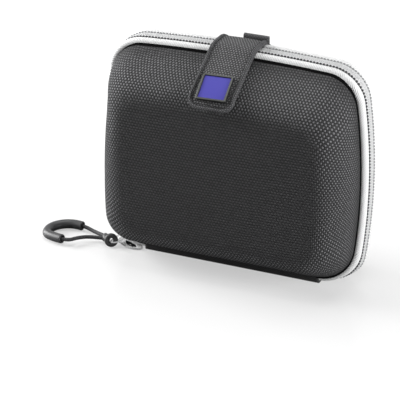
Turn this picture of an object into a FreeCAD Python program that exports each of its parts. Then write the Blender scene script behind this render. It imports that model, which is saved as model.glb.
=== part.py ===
import FreeCAD, Part
import math
import os
import re

import Sketcher

# A moulded zip-round binocular case, standing on its fabric hinge.
# +X is to the right, -Y to the front, +Z up. The zip lies in the plane y = 0 and the floor is z = 0.

# Driving sizes in millimetres and degrees
sizes = {
    # outline of the closed case along its zip
    "case_width": 147.0,
    "case_top": 123.0,
    "side_bow_radius": 309.0,
    "top_bow_radius": 848.0,
    "top_corner_radius": 20.0,
    "bottom_corner_radius": 22.0,
    # the two moulded shells
    "rim_offset": 8.65,
    "rim_inset": 3.0,
    "front_depth": 33.0,
    "back_depth": 28.0,
    "face_side_inset": 20.0,
    "face_top_inset": 27.0,
    "face_bottom_inset": 23.0,
    "face_corner_radius": 11.0,
    "fabric_thickness": 0.8,
    "foam_thickness": 4.0,
    "lining_thickness": 0.6,
    "fit_gap": 0.1,
    # piping, zip tape, zip coil and the binding inside the seam
    "piping_radius": 2.5,
    "piping_offset": 6.1,
    "piping_inset": 2.45,
    "tape_inset": 0.4,
    "tape_thickness": 0.8,
    "zip_half_gap": 0.12,
    "coil_width": 1.5,
    "coil_height": 1.3,
    "binding_inset": 5.1,
    "binding_thickness": 0.9,
    "binding_start": 1.0,
    # fabric hinge along the base
    "hinge_thickness": 1.2,
    "hinge_half_width": 8.5,
    "hinge_height": 5.4,
    "hinge_end_gap": 0.3,
    # closing strap, sewn to the back and pressed down on the front
    "strap_width": 25.0,
    "strap_thickness": 1.4,
    "strap_corner_radius": 6.0,
    "strap_root_margin": 3.0,
    "strap_root_drop": 11.8,
    "strap_crest_back_reach": 0.5,
    "strap_crest_front_reach": 0.9,
    "strap_crest_lift": 2.4,
    "strap_bend_margin": 1.6,
    "strap_bend_drop": 14.6,
    "strap_tip_overhang": 3.0,
    "strap_tip_drop": 20.4,
    "strap_joint_gap": 0.3,
    "edge_band_width": 2.6,
    "edge_band_thickness": 0.4,
    "loop_patch_width": 21.0,
    "loop_patch_thickness": 0.45,
    "loop_patch_margin": 2.4,
    "loop_patch_length": 12.6,
    "hook_patch_width": 20.0,
    "hook_patch_thickness": 0.45,
    "hook_patch_length": 11.0,
    "hook_patch_margin": 1.0,
    # badge on the strap
    "badge_width": 16.5,
    "badge_length": 15.5,
    "badge_start": 17.0,
    "badge_rim": 1.3,
    "badge_height": 1.6,
    "badge_floor": 0.5,
    "badge_corner_radius": 1.0,
    "badge_plate_thickness": 0.5,
    # small webbing loop on the crest of the strap
    "crest_loop_width": 13.6,
    "crest_loop_margin": 0.9,
    "crest_loop_setback": 0.3,
    "crest_loop_depth": 2.8,
    "crest_loop_lift": 2.2,
    "crest_loop_wall": 1.1,
    # belt loop on the back
    "belt_loop_width": 34.0,
    "belt_loop_thickness": 1.6,
    "belt_loop_gap": 6.0,
    "belt_loop_drop": 29.0,
    "belt_loop_length": 66.0,
    "belt_loop_sewn": 8.0,
    "belt_loop_rise": 8.0,
    "bartack_height": 0.5,
    "bartack_margin": 2.0,
    # zip slider on the bottom left corner
    "slider_angle": 38.0,
    "slider_span": 22.0,
    "slider_half_width": 3.9,
    "slider_lift": 0.4,
    "slider_plate": 1.3,
    "slider_inner_half_width": 3.2,
    "slider_post_width": 0.9,
    "slider_post_span": 6.0,
    "slider_clearance": 0.3,
    "slider_notch_margin": 1.0,
    "bail_width": 1.6,
    "bail_span": 13.0,
    "bail_window_span": 9.4,
    "bail_window_height": 2.8,
    "bail_wall": 0.8,
    # pull: wire link, moulded cord ring, cord and grip
    "link_wire_radius": 0.5,
    "link_half_width": 3.4,
    "cord_ring_radius": 2.5,
    "cord_ring_wire": 1.15,
    "cord_ring_reach": 6.305,
    "cord_ring_forward": 8.2,
    "collar_radius": 2.4,
    "collar_length": 4.4,
    "cord_tuck": 1.5,
    "cord_radius": 1.05,
    "grip_radius": 2.3,
    "grip_bore_radius": 1.25,
}

# Shell section stations from the rim to the face, as shares of the way in depth and inset
depth_shares = (0.0, 0.385, 0.713, 0.918, 1.0)
side_shares = (0.0, 0.06, 0.265, 0.59, 1.0)
top_shares = (0.0, 0.235, 0.46, 0.69, 1.0)
bottom_shares = (0.0, 0.25, 0.475, 0.70, 1.0)
corner_shares = (0.0, 0.05, 0.22, 0.55, 1.0)
# Direction of a wall's thickness at each station: across the rim, then along the depth
inset_lean_shares = (1.0, 0.92, 0.78, 0.62, 0.45)
depth_lean_shares = (0.0, 0.40, 0.66, 0.84, 1.0)
# The strap turns this share of the way from its sewn end to its crest
strap_pivot_share = 0.5435
# A cord's bend radius is this share of its shorter run over the tangent of half the turn
cord_bend_share = 0.45
# The cord's bends: places left of and in front of the collar's face, with their heights over the floor
cord_places = (
    (-6.675, 4.8, 1.5),
    (-14.575, 7.2, 2.4),
    (-24.575, 7.3, 2.4),
    (-31.475, 0.0, 2.4),
    (-31.275, -9.4, 2.4),
    (-24.675, -14.2, 2.4),
    (-16.675, -10.6, 2.4),
    (-10.475, -4.2, 1.5),
    (-5.075, -1.4, 1.6),
)
# Where the grip starts and ends along the cord's straight stretches
grip_start_share = 0.35
grip_end_share = 0.45
# How far out in the bail's window the pull hangs
bail_hang_share = 0.62

doc = FreeCAD.newDocument("binocular_case")
sheet = doc.addObject("Spreadsheet::Sheet", "Sizes")
for row, (name, value) in enumerate(sizes.items(), 1):
    sheet.set(f"A{row}", name)
    sheet.set(f"B{row}", str(value))
    sheet.setAlias(f"B{row}", name)
doc.recompute()

X_AXIS = FreeCAD.Vector(1, 0, 0)
Y_AXIS = FreeCAD.Vector(0, 1, 0)
Z_AXIS = FreeCAD.Vector(0, 0, 1)
made = []


def cells(text):
    """An expression on the sheet from plain size names."""
    return re.sub(r"[a-z_]+", lambda m: f"Sizes.{m[0]}" if m[0] in sizes else m[0], str(text))


def num(text):
    """The present value of an expression of size names."""
    return float(sheet.evalExpression(cells(text)))


def bind(feature, prop, text):
    feature.setExpression(prop, cells(text))


# Expressions that several pieces share
mid_height = "((hinge_thickness + case_top) / 2)"
corner_z = "(hinge_thickness + bottom_corner_radius)"
corner_x = (
    "(case_width / 2 - side_bow_radius + sqrt((side_bow_radius - bottom_corner_radius)^2"
    f" - ({mid_height} - {corner_z})^2))"
)
corner_turn = (
    f"(90 deg - asin(({mid_height} - {corner_z}) / (side_bow_radius - bottom_corner_radius)))"
)
tape_reach = "(piping_offset - piping_radius - fit_gap)"


def new_body(label):
    body = doc.addObject("PartDesign::Body", label)
    body.Label = label
    return body


def new_sketch(body, name, role, offset=0, lift=0):
    """A sketch on one of the body's own planes, moved along its normal and up within itself."""
    plane = [f for f in body.Origin.OriginFeatures if f.Role == role][0]
    sketch = body.newObject("Sketcher::SketchObject", name)
    sketch.AttachmentSupport = [(plane, "")]
    sketch.MapMode = "FlatFace"
    bind(sketch, "AttachmentOffset.Base.z", offset)
    bind(sketch, "AttachmentOffset.Base.y", lift)
    return sketch


def hold(sketch, geo, pos, axis, text, name):
    """Fix one coordinate of a point from the sketch's origin."""
    value = num(text)
    if value == 0:
        sketch.addConstraint(Sketcher.Constraint("PointOnObject", geo, pos, -2 if axis == "X" else -1))
        return
    ends = (-1, 1, geo, pos) if value > 0 else (geo, pos, -1, 1)
    index = sketch.addConstraint(Sketcher.Constraint(f"Distance{axis}", *ends, abs(value)))
    sketch.renameConstraint(index, name)
    bind(sketch, f"Constraints.{name}", f"{'' if value > 0 else '-'}({text})")


def polygon(sketch, points):
    """A closed outline of straight lines through points given as pairs of expressions."""
    spots = [FreeCAD.Vector(num(u), num(v), 0) for u, v in points]
    count = len(spots)
    first = sketch.GeometryCount
    for i in range(count):
        sketch.addGeometry(Part.LineSegment(spots[i], spots[(i + 1) % count]), False)
    for i, (u, v) in enumerate(points):
        sketch.addConstraint(
            Sketcher.Constraint("Coincident", first + i, 2, first + (i + 1) % count, 1))
        hold(sketch, first + i, 1, "X", u, f"across{first + i}")
        hold(sketch, first + i, 1, "Y", v, f"along{first + i}")
    return sketch


def rectangle(sketch, left, right, low, high):
    return polygon(sketch, [(left, low), (right, low), (right, high), (left, high)])


def circle(sketch, across, along, radius):
    middle = FreeCAD.Vector(num(across), num(along), 0)
    geo = sketch.addGeometry(Part.Circle(middle, Z_AXIS, num(radius)), False)
    hold(sketch, geo, 3, "X", across, f"middle_across{geo}")
    hold(sketch, geo, 3, "Y", along, f"middle_along{geo}")
    index = sketch.addConstraint(Sketcher.Constraint("Radius", geo, num(radius)))
    sketch.renameConstraint(index, f"round{geo}")
    bind(sketch, f"Constraints.round{geo}", radius)
    return sketch


def outline(sketch, side, top, bottom, upper, lower, keep=None):
    """The case's outline, drawn in by three insets, with its upper and lower corner radii.

    Its edges run from the straight base round the right side, the top and the left side.
    Edges that are not in keep stay as construction lines.
    """
    side_text, top_text = f"(side_bow_radius - ({side}))", f"(top_bow_radius - ({top}))"
    base_text = f"(hinge_thickness + {bottom})"
    side_r, top_r, upper_r, lower_r = num(side_text), num(top_text), num(upper), num(lower)
    base, middle_z = num(base_text), num(mid_height)
    side_x = num("case_width / 2 - side_bow_radius")
    top_z = num("case_top - top_bow_radius")
    low_z = base + lower_r
    low_x = side_x + math.sqrt((side_r - lower_r) ** 2 - (low_z - middle_z) ** 2)
    # The upper corner's middle lies on circles about the middles of the side and of the top
    span = math.hypot(side_x, top_z - middle_z)
    along = ((side_r - upper_r) ** 2 - (top_r - upper_r) ** 2 + span ** 2) / (2 * span)
    out = math.sqrt((side_r - upper_r) ** 2 - along ** 2)
    ux, uz = -side_x / span, (top_z - middle_z) / span
    high_x, high_z = side_x + along * ux - out * uz, middle_z + along * uz + out * ux
    low_turn = math.atan2(low_z - middle_z, low_x - side_x)
    high_turn = math.atan2(high_z - middle_z, high_x - side_x)
    top_turn = math.atan2(high_z - top_z, high_x)
    arcs = [
        (low_x, low_z, lower_r, -math.pi / 2, low_turn),
        (side_x, middle_z, side_r, low_turn, high_turn),
        (high_x, high_z, upper_r, high_turn, top_turn),
        (0.0, top_z, top_r, top_turn, math.pi - top_turn),
        (-high_x, high_z, upper_r, math.pi - top_turn, math.pi - high_turn),
        (-side_x, middle_z, side_r, math.pi - high_turn, math.pi - low_turn),
        (-low_x, low_z, lower_r, math.pi - low_turn, 1.5 * math.pi),
    ]
    keep = range(len(arcs) + 1) if keep is None else keep
    base_line = Part.LineSegment(FreeCAD.Vector(-low_x, base, 0), FreeCAD.Vector(low_x, base, 0))
    sketch.addGeometry(base_line, 0 not in keep)
    for i, (x, z, radius, start, end) in enumerate(arcs, 1):
        ring = Part.Circle(FreeCAD.Vector(x, z, 0), Z_AXIS, radius)
        sketch.addGeometry(Part.ArcOfCircle(ring, start, end), i not in keep)
    for i in range(len(arcs) + 1):
        following = (i + 1) % (len(arcs) + 1)
        sketch.addConstraint(Sketcher.Constraint("Tangent", i, 2, following, 1))
    radii = {1: lower, 2: side_text, 3: upper, 4: top_text, 5: upper, 6: side_text, 7: lower}
    for geo, text in radii.items():
        index = sketch.addConstraint(Sketcher.Constraint("Radius", geo, num(text)))
        sketch.renameConstraint(index, f"bend{geo}")
        bind(sketch, f"Constraints.bend{geo}", text)
    sketch.addConstraint(Sketcher.Constraint("Horizontal", 0))
    hold(sketch, 0, 1, "Y", base_text, "base_height")
    hold(sketch, 4, 3, "X", "0", "top_across")
    hold(sketch, 4, 3, "Y", "case_top - top_bow_radius", "top_height")
    hold(sketch, 2, 3, "X", "case_width / 2 - side_bow_radius", "right_across")
    hold(sketch, 2, 3, "Y", mid_height, "right_height")
    hold(sketch, 6, 3, "X", "side_bow_radius - case_width / 2", "left_across")
    hold(sketch, 6, 3, "Y", mid_height, "left_height")
    return sketch


def finish(piece, label, keep=True):
    piece.Label = label
    if keep:
        made.append(piece)
    return piece


def pad(body, sketch, length, middle=True, backwards=False):
    feature = body.newObject("PartDesign::Pad", f"{body.Label}_pad")
    feature.Profile = sketch
    feature.SideType = "Symmetric" if middle else "One side"
    feature.Reversed = backwards
    bind(feature, "Length", length)
    doc.recompute()
    return feature


def pocket(body, sketch, length, backwards=False):
    """A cut that has to take something away."""
    before = body.Shape.Volume
    feature = body.newObject("PartDesign::Pocket", f"{body.Label}_pocket")
    feature.Profile = sketch
    feature.Reversed = backwards
    bind(feature, "Length", length)
    doc.recompute()
    assert body.Shape.Volume < before, f"{body.Label}: the pocket cut nothing"
    return feature


def fillet(body, base, edges, radius):
    feature = body.newObject("PartDesign::Fillet", f"{body.Label}_fillet")
    feature.Base = (base, edges)
    bind(feature, "Radius", radius)
    doc.recompute()
    return feature


def edges_where(feature, test):
    return [f"Edge{i}" for i, edge in enumerate(feature.Shape.Edges, 1) if test(edge)]


def lies_along(edge, direction):
    if edge.Curve.TypeId != "Part::GeomLine":
        return False
    return abs(abs(edge.Curve.Direction.dot(direction)) - 1) < 1e-6


# Shells: nested layers lofted through the same five stations

def station(depth, layer, k):
    """Sketch offset, insets and corner radii of one station, a layer's way in from the outside."""
    inset = f"rim_inset + ({layer}) * {inset_lean_shares[k]}"
    reach = f"rim_offset + ({depth} - rim_offset) * {depth_shares[k]} - ({layer}) * {depth_lean_shares[k]}"
    corner = "({0} - rim_inset - {1} * ({0} - rim_inset - face_corner_radius) - ({2}) * {3})"
    return {
        "reach": reach,
        "side": f"({inset} + (face_side_inset - rim_inset) * {side_shares[k]})",
        "top": f"({inset} + (face_top_inset - rim_inset) * {top_shares[k]})",
        "bottom": f"({inset} + (face_bottom_inset - rim_inset) * {bottom_shares[k]})",
        "upper": corner.format("top_corner_radius", corner_shares[k], layer, inset_lean_shares[k]),
        "lower": corner.format("bottom_corner_radius", corner_shares[k], layer, inset_lean_shares[k]),
    }


def shell_loft(body, kind, way, depth, layer):
    sections = []
    for k in range(len(depth_shares)):
        place = station(depth, layer, k)
        sketch = new_sketch(body, f"{body.Label}_station", "XZ_Plane", f"{way} * ({place['reach']})")
        sections.append(outline(
            sketch, place["side"], place["top"], place["bottom"], place["upper"], place["lower"]))
    doc.recompute()
    loft = body.newObject(f"PartDesign::{kind}", f"{body.Label}_loft")
    loft.Profile = sections[0]
    loft.Sections = sections[1:]
    doc.recompute()
    return loft


def shell_layer(label, way, depth, outer, inner, keep=True):
    body = new_body(label)
    shell_loft(body, "AdditiveLoft", way, depth, outer)
    shell_loft(body, "SubtractiveLoft", way, depth, inner)
    return finish(body, label, keep)


def moulded_shell(half, way, depth):
    fabric_in = "fabric_thickness"
    foam_out = f"{fabric_in} + fit_gap"
    foam_in = f"{foam_out} + foam_thickness"
    lining_out = f"{foam_in} + fit_gap"
    shell_layer(f"{half}_fabric", way, depth, "0", fabric_in)
    shell_layer(f"{half}_foam", way, depth, foam_out, foam_in)
    shell_layer(f"{half}_lining", way, depth, lining_out, f"{lining_out} + lining_thickness")


# Zip, piping and binding: sections carried round the case from one end of the hinge to the other

def carried_round(label, draw, keep):
    body = new_body(label)
    section = draw(new_sketch(body, f"{label}_section", "YZ_Plane", corner_x))
    path = new_sketch(body, f"{label}_path", "XZ_Plane")
    outline(path, "0", "0", "0", "top_corner_radius", "bottom_corner_radius", keep)
    doc.recompute()
    pipe = body.newObject("PartDesign::AdditivePipe", f"{label}_pipe")
    pipe.Profile = section
    pipe.Spine = (path, [])
    pipe.Mode = "Frenet"
    doc.recompute()
    return finish(body, label)


def seam_strip(sketch, way, near, far, inset, thickness):
    """A flat strip beside the zip, on the front (way 1) or the back (way -1)."""
    low = f"hinge_thickness + {inset}"
    ends = [f"{-way} * ({near})", f"{-way} * ({far})"]
    ends.sort(key=num)
    return rectangle(sketch, *ends, low, f"{low} + {thickness}")


whole_run = range(1, 8)
zip_run = range(1, 7)
coil_inset = "(tape_inset + tape_thickness + fit_gap / 2)"


def zip_half(half, way):
    carried_round(
        f"{half}_piping",
        lambda s: circle(s, f"{-way} * piping_offset", "hinge_thickness + piping_inset", "piping_radius"),
        whole_run)
    carried_round(
        f"{half}_zip_tape",
        lambda s: seam_strip(s, way, "zip_half_gap", tape_reach, "tape_inset", "tape_thickness"),
        zip_run)
    carried_round(
        f"{half}_zip_coil",
        lambda s: seam_strip(s, way, "zip_half_gap", "zip_half_gap + coil_width", coil_inset, "coil_height"),
        zip_run)
    carried_round(
        f"{half}_seam_binding",
        lambda s: seam_strip(
            s, way, "binding_start", "rim_offset - fit_gap", "binding_inset", "binding_thickness"),
        whole_run)
    zip_end(half, way)


def corner_sketch(body, name):
    """A section at the lowest point of the bottom left corner, measured from the corner's middle."""
    return new_sketch(body, name, "YZ_Plane", f"-{corner_x}", corner_z)


def turned(body, sketch, kind, angle, middle=False):
    feature = body.newObject(f"PartDesign::{kind}", f"{body.Label}_turn")
    feature.Profile = sketch
    feature.ReferenceAxis = (sketch, ["H_Axis"])
    feature.Midplane = middle
    bind(feature, "Angle", angle)
    doc.recompute()
    return feature


tape_outside = "-(bottom_corner_radius - tape_inset)"
tape_inside = f"({tape_outside} + tape_thickness)"
coil_inside = f"({tape_inside} + coil_height)"
slider_foot = f"({tape_outside} - slider_lift)"
slider_top = f"({slider_foot} - slider_plate)"
slider_inner_low = f"({tape_outside} + tape_thickness + coil_height + slider_clearance)"


def zip_end(half, way):
    """The last stretch of one zip half, round the corner, parted where the slider's post stands."""
    body = new_body(f"{half}_zip_end")
    near, turn, far = (f"{-way} * {t}" for t in ("zip_half_gap", "(zip_half_gap + coil_width)", tape_reach))
    section = corner_sketch(body, f"{half}_zip_end_section")
    polygon(section, [
        (near, tape_outside), (far, tape_outside), (far, tape_inside),
        (turn, tape_inside), (turn, coil_inside), (near, coil_inside)])
    turned(body, section, "Revolution", corner_turn)
    before = body.Shape.Volume
    notch = corner_sketch(body, f"{half}_zip_end_notch")
    half_notch = "slider_post_width / 2 + slider_clearance"
    sides = sorted((f"{-way} * zip_half_gap / 2", f"{-way} * ({half_notch})"), key=num)
    rectangle(notch, *sides, f"{tape_outside} - slider_clearance", f"{coil_inside} + slider_clearance")
    turned(body, notch, "Groove", "(slider_angle + slider_notch_margin) * 1 deg")
    assert body.Shape.Volume < before, "the zip end is not parted"
    finish(body, f"{half}_zip_end")


# Hinge

def hinge_tape():
    body = new_body("hinge_tape")
    section = new_sketch(body, "hinge_section", "YZ_Plane")
    wall = "hinge_half_width - hinge_thickness"
    polygon(section, [
        ("-hinge_half_width", "0"), ("hinge_half_width", "0"), ("hinge_half_width", "hinge_height"),
        (wall, "hinge_height"), (wall, "hinge_thickness"), (f"-({wall})", "hinge_thickness"),
        (f"-({wall})", "hinge_height"), ("-hinge_half_width", "hinge_height")])
    trough = pad(body, section, f"2 * ({corner_x} - hinge_end_gap)")
    low = edges_where(trough, lambda e: lies_along(e, X_AXIS)
                      and all(abs(v.Z) < 1e-6 for v in e.Vertexes))
    fillet(body, trough, low, "hinge_thickness")
    finish(body, "hinge_tape")


# Strap: its outer face follows straight stretches, seen from the side as pairs (y, z)

crest_z = "(case_top + strap_crest_lift)"
crest_back_y = "(piping_offset + strap_crest_back_reach)"
crest_front_y = "-(piping_offset + strap_crest_front_reach)"
bend_y = "-(front_depth - strap_bend_margin)"
tip_y = "-(front_depth + strap_tip_overhang)"
strap_line = [
    ("back_depth - strap_root_margin", "case_top - strap_root_drop"),
    (crest_back_y, crest_z),
    (crest_front_y, crest_z),
    (bend_y, "case_top - strap_bend_drop"),
    (tip_y, "case_top - strap_tip_drop"),
]


def shifted(points, amount):
    """Side-view points moved square to the line through them, outwards for a positive amount."""
    spots = [FreeCAD.Vector(0, num(y), num(z)) for y, z in points]
    ways = [(b - a).normalize() for a, b in zip(spots, spots[1:])]
    squares = [FreeCAD.Vector(0, way.z, -way.y) for way in ways]
    moved = []
    for i, spot in enumerate(spots):
        before, after = squares[max(i - 1, 0)], squares[min(i, len(squares) - 1)]
        between = (before + after).normalize()
        moved.append(spot + between * (amount / between.dot(before)))
    return moved


def at_share(a, b, share):
    return a + (b - a) * share


def flat_outline(body, name, spots):
    """A side-view outline through points worked out from the sheet's values."""
    sketch = new_sketch(body, name, "YZ_Plane")
    for i, spot in enumerate(spots):
        following = spots[(i + 1) % len(spots)]
        sketch.addGeometry(Part.LineSegment(
            FreeCAD.Vector(spot.y, spot.z, 0), FreeCAD.Vector(following.y, following.z, 0)), False)
    for i in range(len(spots)):
        sketch.addConstraint(Sketcher.Constraint("Coincident", i, 2, (i + 1) % len(spots), 1))
    return sketch


def strap_layer(label, low, high, first_share=0.0, start=0):
    """A length of the strap between two heights over its outer face."""
    lower, upper = shifted(strap_line, low)[start:], shifted(strap_line, high)[start:]
    lower[0] = at_share(lower[0], lower[1], first_share)
    upper[0] = at_share(upper[0], upper[1], first_share)
    body = new_body(label)
    sketch = flat_outline(body, f"{label}_side", upper + lower[::-1])
    return body, pad(body, sketch, "strap_width")


def tip_edges(feature):
    past_bend = num(bend_y)
    return edges_where(feature, lambda e: not lies_along(e, X_AXIS)
                       and all(v.Y < past_bend for v in e.Vertexes)
                       and e.Length < num("2 * strap_thickness"))


def strap():
    thickness = num("strap_thickness")
    # The sewn root ends short of the pivot; the free strap starts at it with a round end
    outer, inner = shifted(strap_line, 0), shifted(strap_line, -thickness)
    stretch = (outer[1] - outer[0]).Length
    root_end = strap_pivot_share - num("strap_joint_gap + strap_thickness / 2") / stretch
    root = new_body("strap_root")
    sketch = flat_outline(root, "strap_root_side", [
        outer[0], at_share(outer[0], outer[1], root_end),
        at_share(inner[0], inner[1], root_end), inner[0]])
    pad(root, sketch, "strap_width")
    finish(root, "strap_root")
    body, padded = strap_layer("strap_flap", -thickness, 0.0, strap_pivot_share)
    fillet(body, padded, tip_edges(padded), "strap_corner_radius")
    back = edges_where(body.Tip, lambda e: lies_along(e, X_AXIS)
                       and all(v.Y > num(crest_back_y) + thickness for v in e.Vertexes))
    fillet(body, body.Tip, back, "strap_thickness / 2 - fit_gap / 2")
    finish(body, "strap_flap")
    strap_edge_band()
    strap_patches()


def strap_edge_band():
    """The raised binding along the strap's edges and round its tip."""
    band, padded = strap_layer(
        "strap_edge_band", 0.0, num("edge_band_thickness"), start=2)
    fillet(band, padded, tip_edges(padded), "strap_corner_radius")
    opening = new_sketch(band, "strap_edge_band_opening", "XY_Plane", f"{crest_z} + strap_thickness")
    half = "strap_width / 2 - edge_band_width"
    rectangle(opening, f"-({half})", half, f"{tip_y} + edge_band_width", f"{crest_front_y} + strap_width")
    pocket(band, opening, "case_top")
    finish(band, "strap_edge_band")


def strap_patches():
    """The pile patch on the front shell and the hook patch under the strap that grips it."""
    layer = shell_layer("loop_patch_layer", 1, "front_depth",
                        "-(fit_gap + loop_patch_thickness)", "-fit_gap", keep=False)
    block = doc.addObject("Part::Box", "loop_patch_block")
    bind(block, "Length", "loop_patch_width")
    bind(block, "Width", "loop_patch_length")
    bind(block, "Height", "case_top / 2")
    bind(block, "Placement.Base.x", "-loop_patch_width / 2")
    bind(block, "Placement.Base.y", "loop_patch_margin - front_depth")
    bind(block, "Placement.Base.z", "case_top / 2")
    patch = doc.addObject("Part::Common", "loop_patch")
    patch.Base = layer
    patch.Tool = block
    doc.recompute()
    finish(patch, "loop_patch")
    thickness = num("strap_thickness")
    outer, inner = shifted(strap_line, -thickness), shifted(
        strap_line, -thickness - num("hook_patch_thickness"))
    length = (outer[3] - outer[2]).Length
    end = 1 - num("hook_patch_margin") / length
    start = end - num("hook_patch_length") / length
    body = new_body("hook_patch")
    sketch = flat_outline(body, "hook_patch_side", [
        at_share(outer[2], outer[3], start), at_share(outer[2], outer[3], end),
        at_share(inner[2], inner[3], end), at_share(inner[2], inner[3], start)])
    pad(body, sketch, "hook_patch_width")
    finish(body, "hook_patch")


def badge():
    """A framed plate lying on the strap's slope, with a bare face."""
    outer = shifted(strap_line, 0)
    slope = (outer[3] - outer[2]).normalize()
    lean = math.degrees(math.atan2(slope.z, -slope.y))
    seat = outer[2] + slope * num("badge_start")
    place = FreeCAD.Placement(seat, FreeCAD.Rotation(X_AXIS, -lean))
    frame = new_body("badge_frame")
    plan = rectangle(new_sketch(frame, "badge_plan", "XY_Plane"),
                     "-badge_width / 2", "badge_width / 2", "-badge_length", "0")
    block = pad(frame, plan, "badge_height", middle=False)
    upright = edges_where(block, lambda e: lies_along(e, Z_AXIS))
    fillet(frame, block, upright, "badge_corner_radius")
    well = new_sketch(frame, "badge_well", "XY_Plane", "badge_height")
    rectangle(well, "badge_rim - badge_width / 2", "badge_width / 2 - badge_rim",
              "badge_rim - badge_length", "-badge_rim")
    pocket(frame, well, "badge_height - badge_floor")
    frame.Placement = place
    finish(frame, "badge_frame")
    plate = new_body("badge_plate")
    margin = "badge_rim + fit_gap"
    plan = rectangle(new_sketch(plate, "badge_plate_plan", "XY_Plane", "badge_floor"),
                     f"{margin} - badge_width / 2", f"badge_width / 2 - ({margin})",
                     f"{margin} - badge_length", f"-({margin})")
    pad(plate, plan, "badge_plate_thickness", middle=False)
    plate.Placement = place
    finish(plate, "badge_plate")


def crest_loop():
    """A folded loop of narrow webbing, standing on the strap behind its crest."""
    outer = shifted(strap_line, 0)
    slope = (outer[0].z - outer[1].z) / (outer[0].y - outer[1].y)

    def strap_height(y):
        return outer[1].z + (y - outer[1].y) * slope

    body = new_body("crest_loop")
    front = num(f"{crest_back_y} + crest_loop_setback")
    back = front + num("crest_loop_depth")
    wall, top = num("crest_loop_wall"), num(f"{crest_z} + crest_loop_lift")
    spots = [(front, strap_height(front)), (front, top), (back, top), (back, strap_height(back)),
             (back - wall, strap_height(back - wall)), (back - wall, top - wall),
             (front + wall, top - wall), (front + wall, strap_height(front + wall))]
    sketch = flat_outline(body, "crest_loop_side", [FreeCAD.Vector(0, y, z) for y, z in spots])
    bind(sketch, "AttachmentOffset.Base.z", "strap_width / 2 - crest_loop_margin - crest_loop_width")
    fold = pad(body, sketch, "crest_loop_width", middle=False)
    upper = edges_where(fold, lambda e: lies_along(e, X_AXIS)
                        and all(abs(v.Z - top) < 1e-6 for v in e.Vertexes))
    fillet(body, fold, upper, "crest_loop_wall")
    finish(body, "crest_loop")


# Belt loop on the back

def belt_loop():
    inner_y = "back_depth + fit_gap"
    outer_y = f"{inner_y} + belt_loop_gap"
    high = "(case_top - belt_loop_drop)"
    low = f"({high} - belt_loop_length)"
    heights = [low, f"{low} + belt_loop_sewn", f"{low} + belt_loop_sewn + belt_loop_rise",
               f"{high} - belt_loop_sewn - belt_loop_rise", f"{high} - belt_loop_sewn", high]
    line = list(zip([inner_y, inner_y, outer_y, outer_y, inner_y, inner_y], heights))
    near = [FreeCAD.Vector(0, num(y), num(z)) for y, z in line]
    far = shifted(line, num("belt_loop_thickness"))
    body = new_body("belt_loop")
    pad(body, flat_outline(body, "belt_loop_side", near + far[::-1]), "belt_loop_width")
    finish(body, "belt_loop")
    for label, foot in (("upper_bartack", f"{high} - belt_loop_sewn"), ("lower_bartack", low)):
        body = new_body(label)
        plan = new_sketch(body, f"{label}_plan", "XZ_Plane",
                          "-(back_depth + fit_gap + belt_loop_thickness)")
        half = "belt_loop_width / 2 - bartack_margin"
        rectangle(plan, f"-({half})", half, f"{foot} + bartack_margin",
                  f"{foot} + belt_loop_sewn - bartack_margin")
        pad(body, plan, "bartack_height", middle=False, backwards=True)
        finish(body, label)


# Zip slider and pull

def on_corner(body, angle):
    """Carry a piece round the bottom left corner, from its lowest point towards the left side."""
    middle = FreeCAD.Vector(-num(corner_x), 0, num(corner_z))
    body.Placement = FreeCAD.Placement(FreeCAD.Vector(), FreeCAD.Rotation(Y_AXIS, num(angle)), middle)


def slider():
    body = new_body("slider_body")
    wide, narrow = "slider_half_width", "slider_inner_half_width"
    plate = corner_sketch(body, "slider_plate")
    rectangle(plate, f"-{wide}", wide, slider_top, slider_foot)
    turned(body, plate, "Revolution", "slider_span * 1 deg", middle=True)
    post = corner_sketch(body, "slider_post")
    rectangle(post, "-slider_post_width / 2", "slider_post_width / 2",
              f"{slider_foot} - slider_plate / 2", f"{slider_inner_low} + slider_plate / 2")
    turned(body, post, "Revolution", "slider_post_span * 1 deg").Reversed = True
    wing = corner_sketch(body, "slider_wing")
    rectangle(wing, f"-{narrow}", narrow, slider_inner_low, f"{slider_inner_low} + slider_plate")
    turned(body, wing, "Revolution", "slider_span * 1 deg", middle=True)
    on_corner(body, "slider_angle")
    finish(body, "slider_body")
    bail = new_body("slider_bail")
    foot = f"({slider_top} - fit_gap / 2)"
    arch = corner_sketch(bail, "bail_arch")
    rectangle(arch, "-bail_width / 2", "bail_width / 2",
              f"{foot} - bail_window_height - bail_wall", foot)
    turned(bail, arch, "Revolution", "bail_span * 1 deg", middle=True)
    window = corner_sketch(bail, "bail_window")
    rectangle(window, "-bail_width", "bail_width", f"{foot} - bail_window_height", f"{foot} + bail_wall")
    turned(bail, window, "Groove", "bail_window_span * 1 deg", middle=True)
    on_corner(bail, "slider_angle")
    finish(bail, "slider_bail")


def bail_point():
    """The middle of the bail's window, where the pull hangs."""
    reach = -num(slider_top) + num(f"fit_gap / 2 + bail_window_height * {bail_hang_share}")
    angle = math.radians(num("slider_angle"))
    return FreeCAD.Vector(-num(corner_x) - reach * math.sin(angle), 0,
                          num(corner_z) - reach * math.cos(angle))


def ring_point():
    """The middle of the cord's moulded ring, lying left of the bail and in front of it."""
    return FreeCAD.Vector(bail_point().x - num("cord_ring_reach"), -num("cord_ring_forward"),
                          num("cord_ring_radius + cord_ring_wire + fit_gap"))


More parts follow.
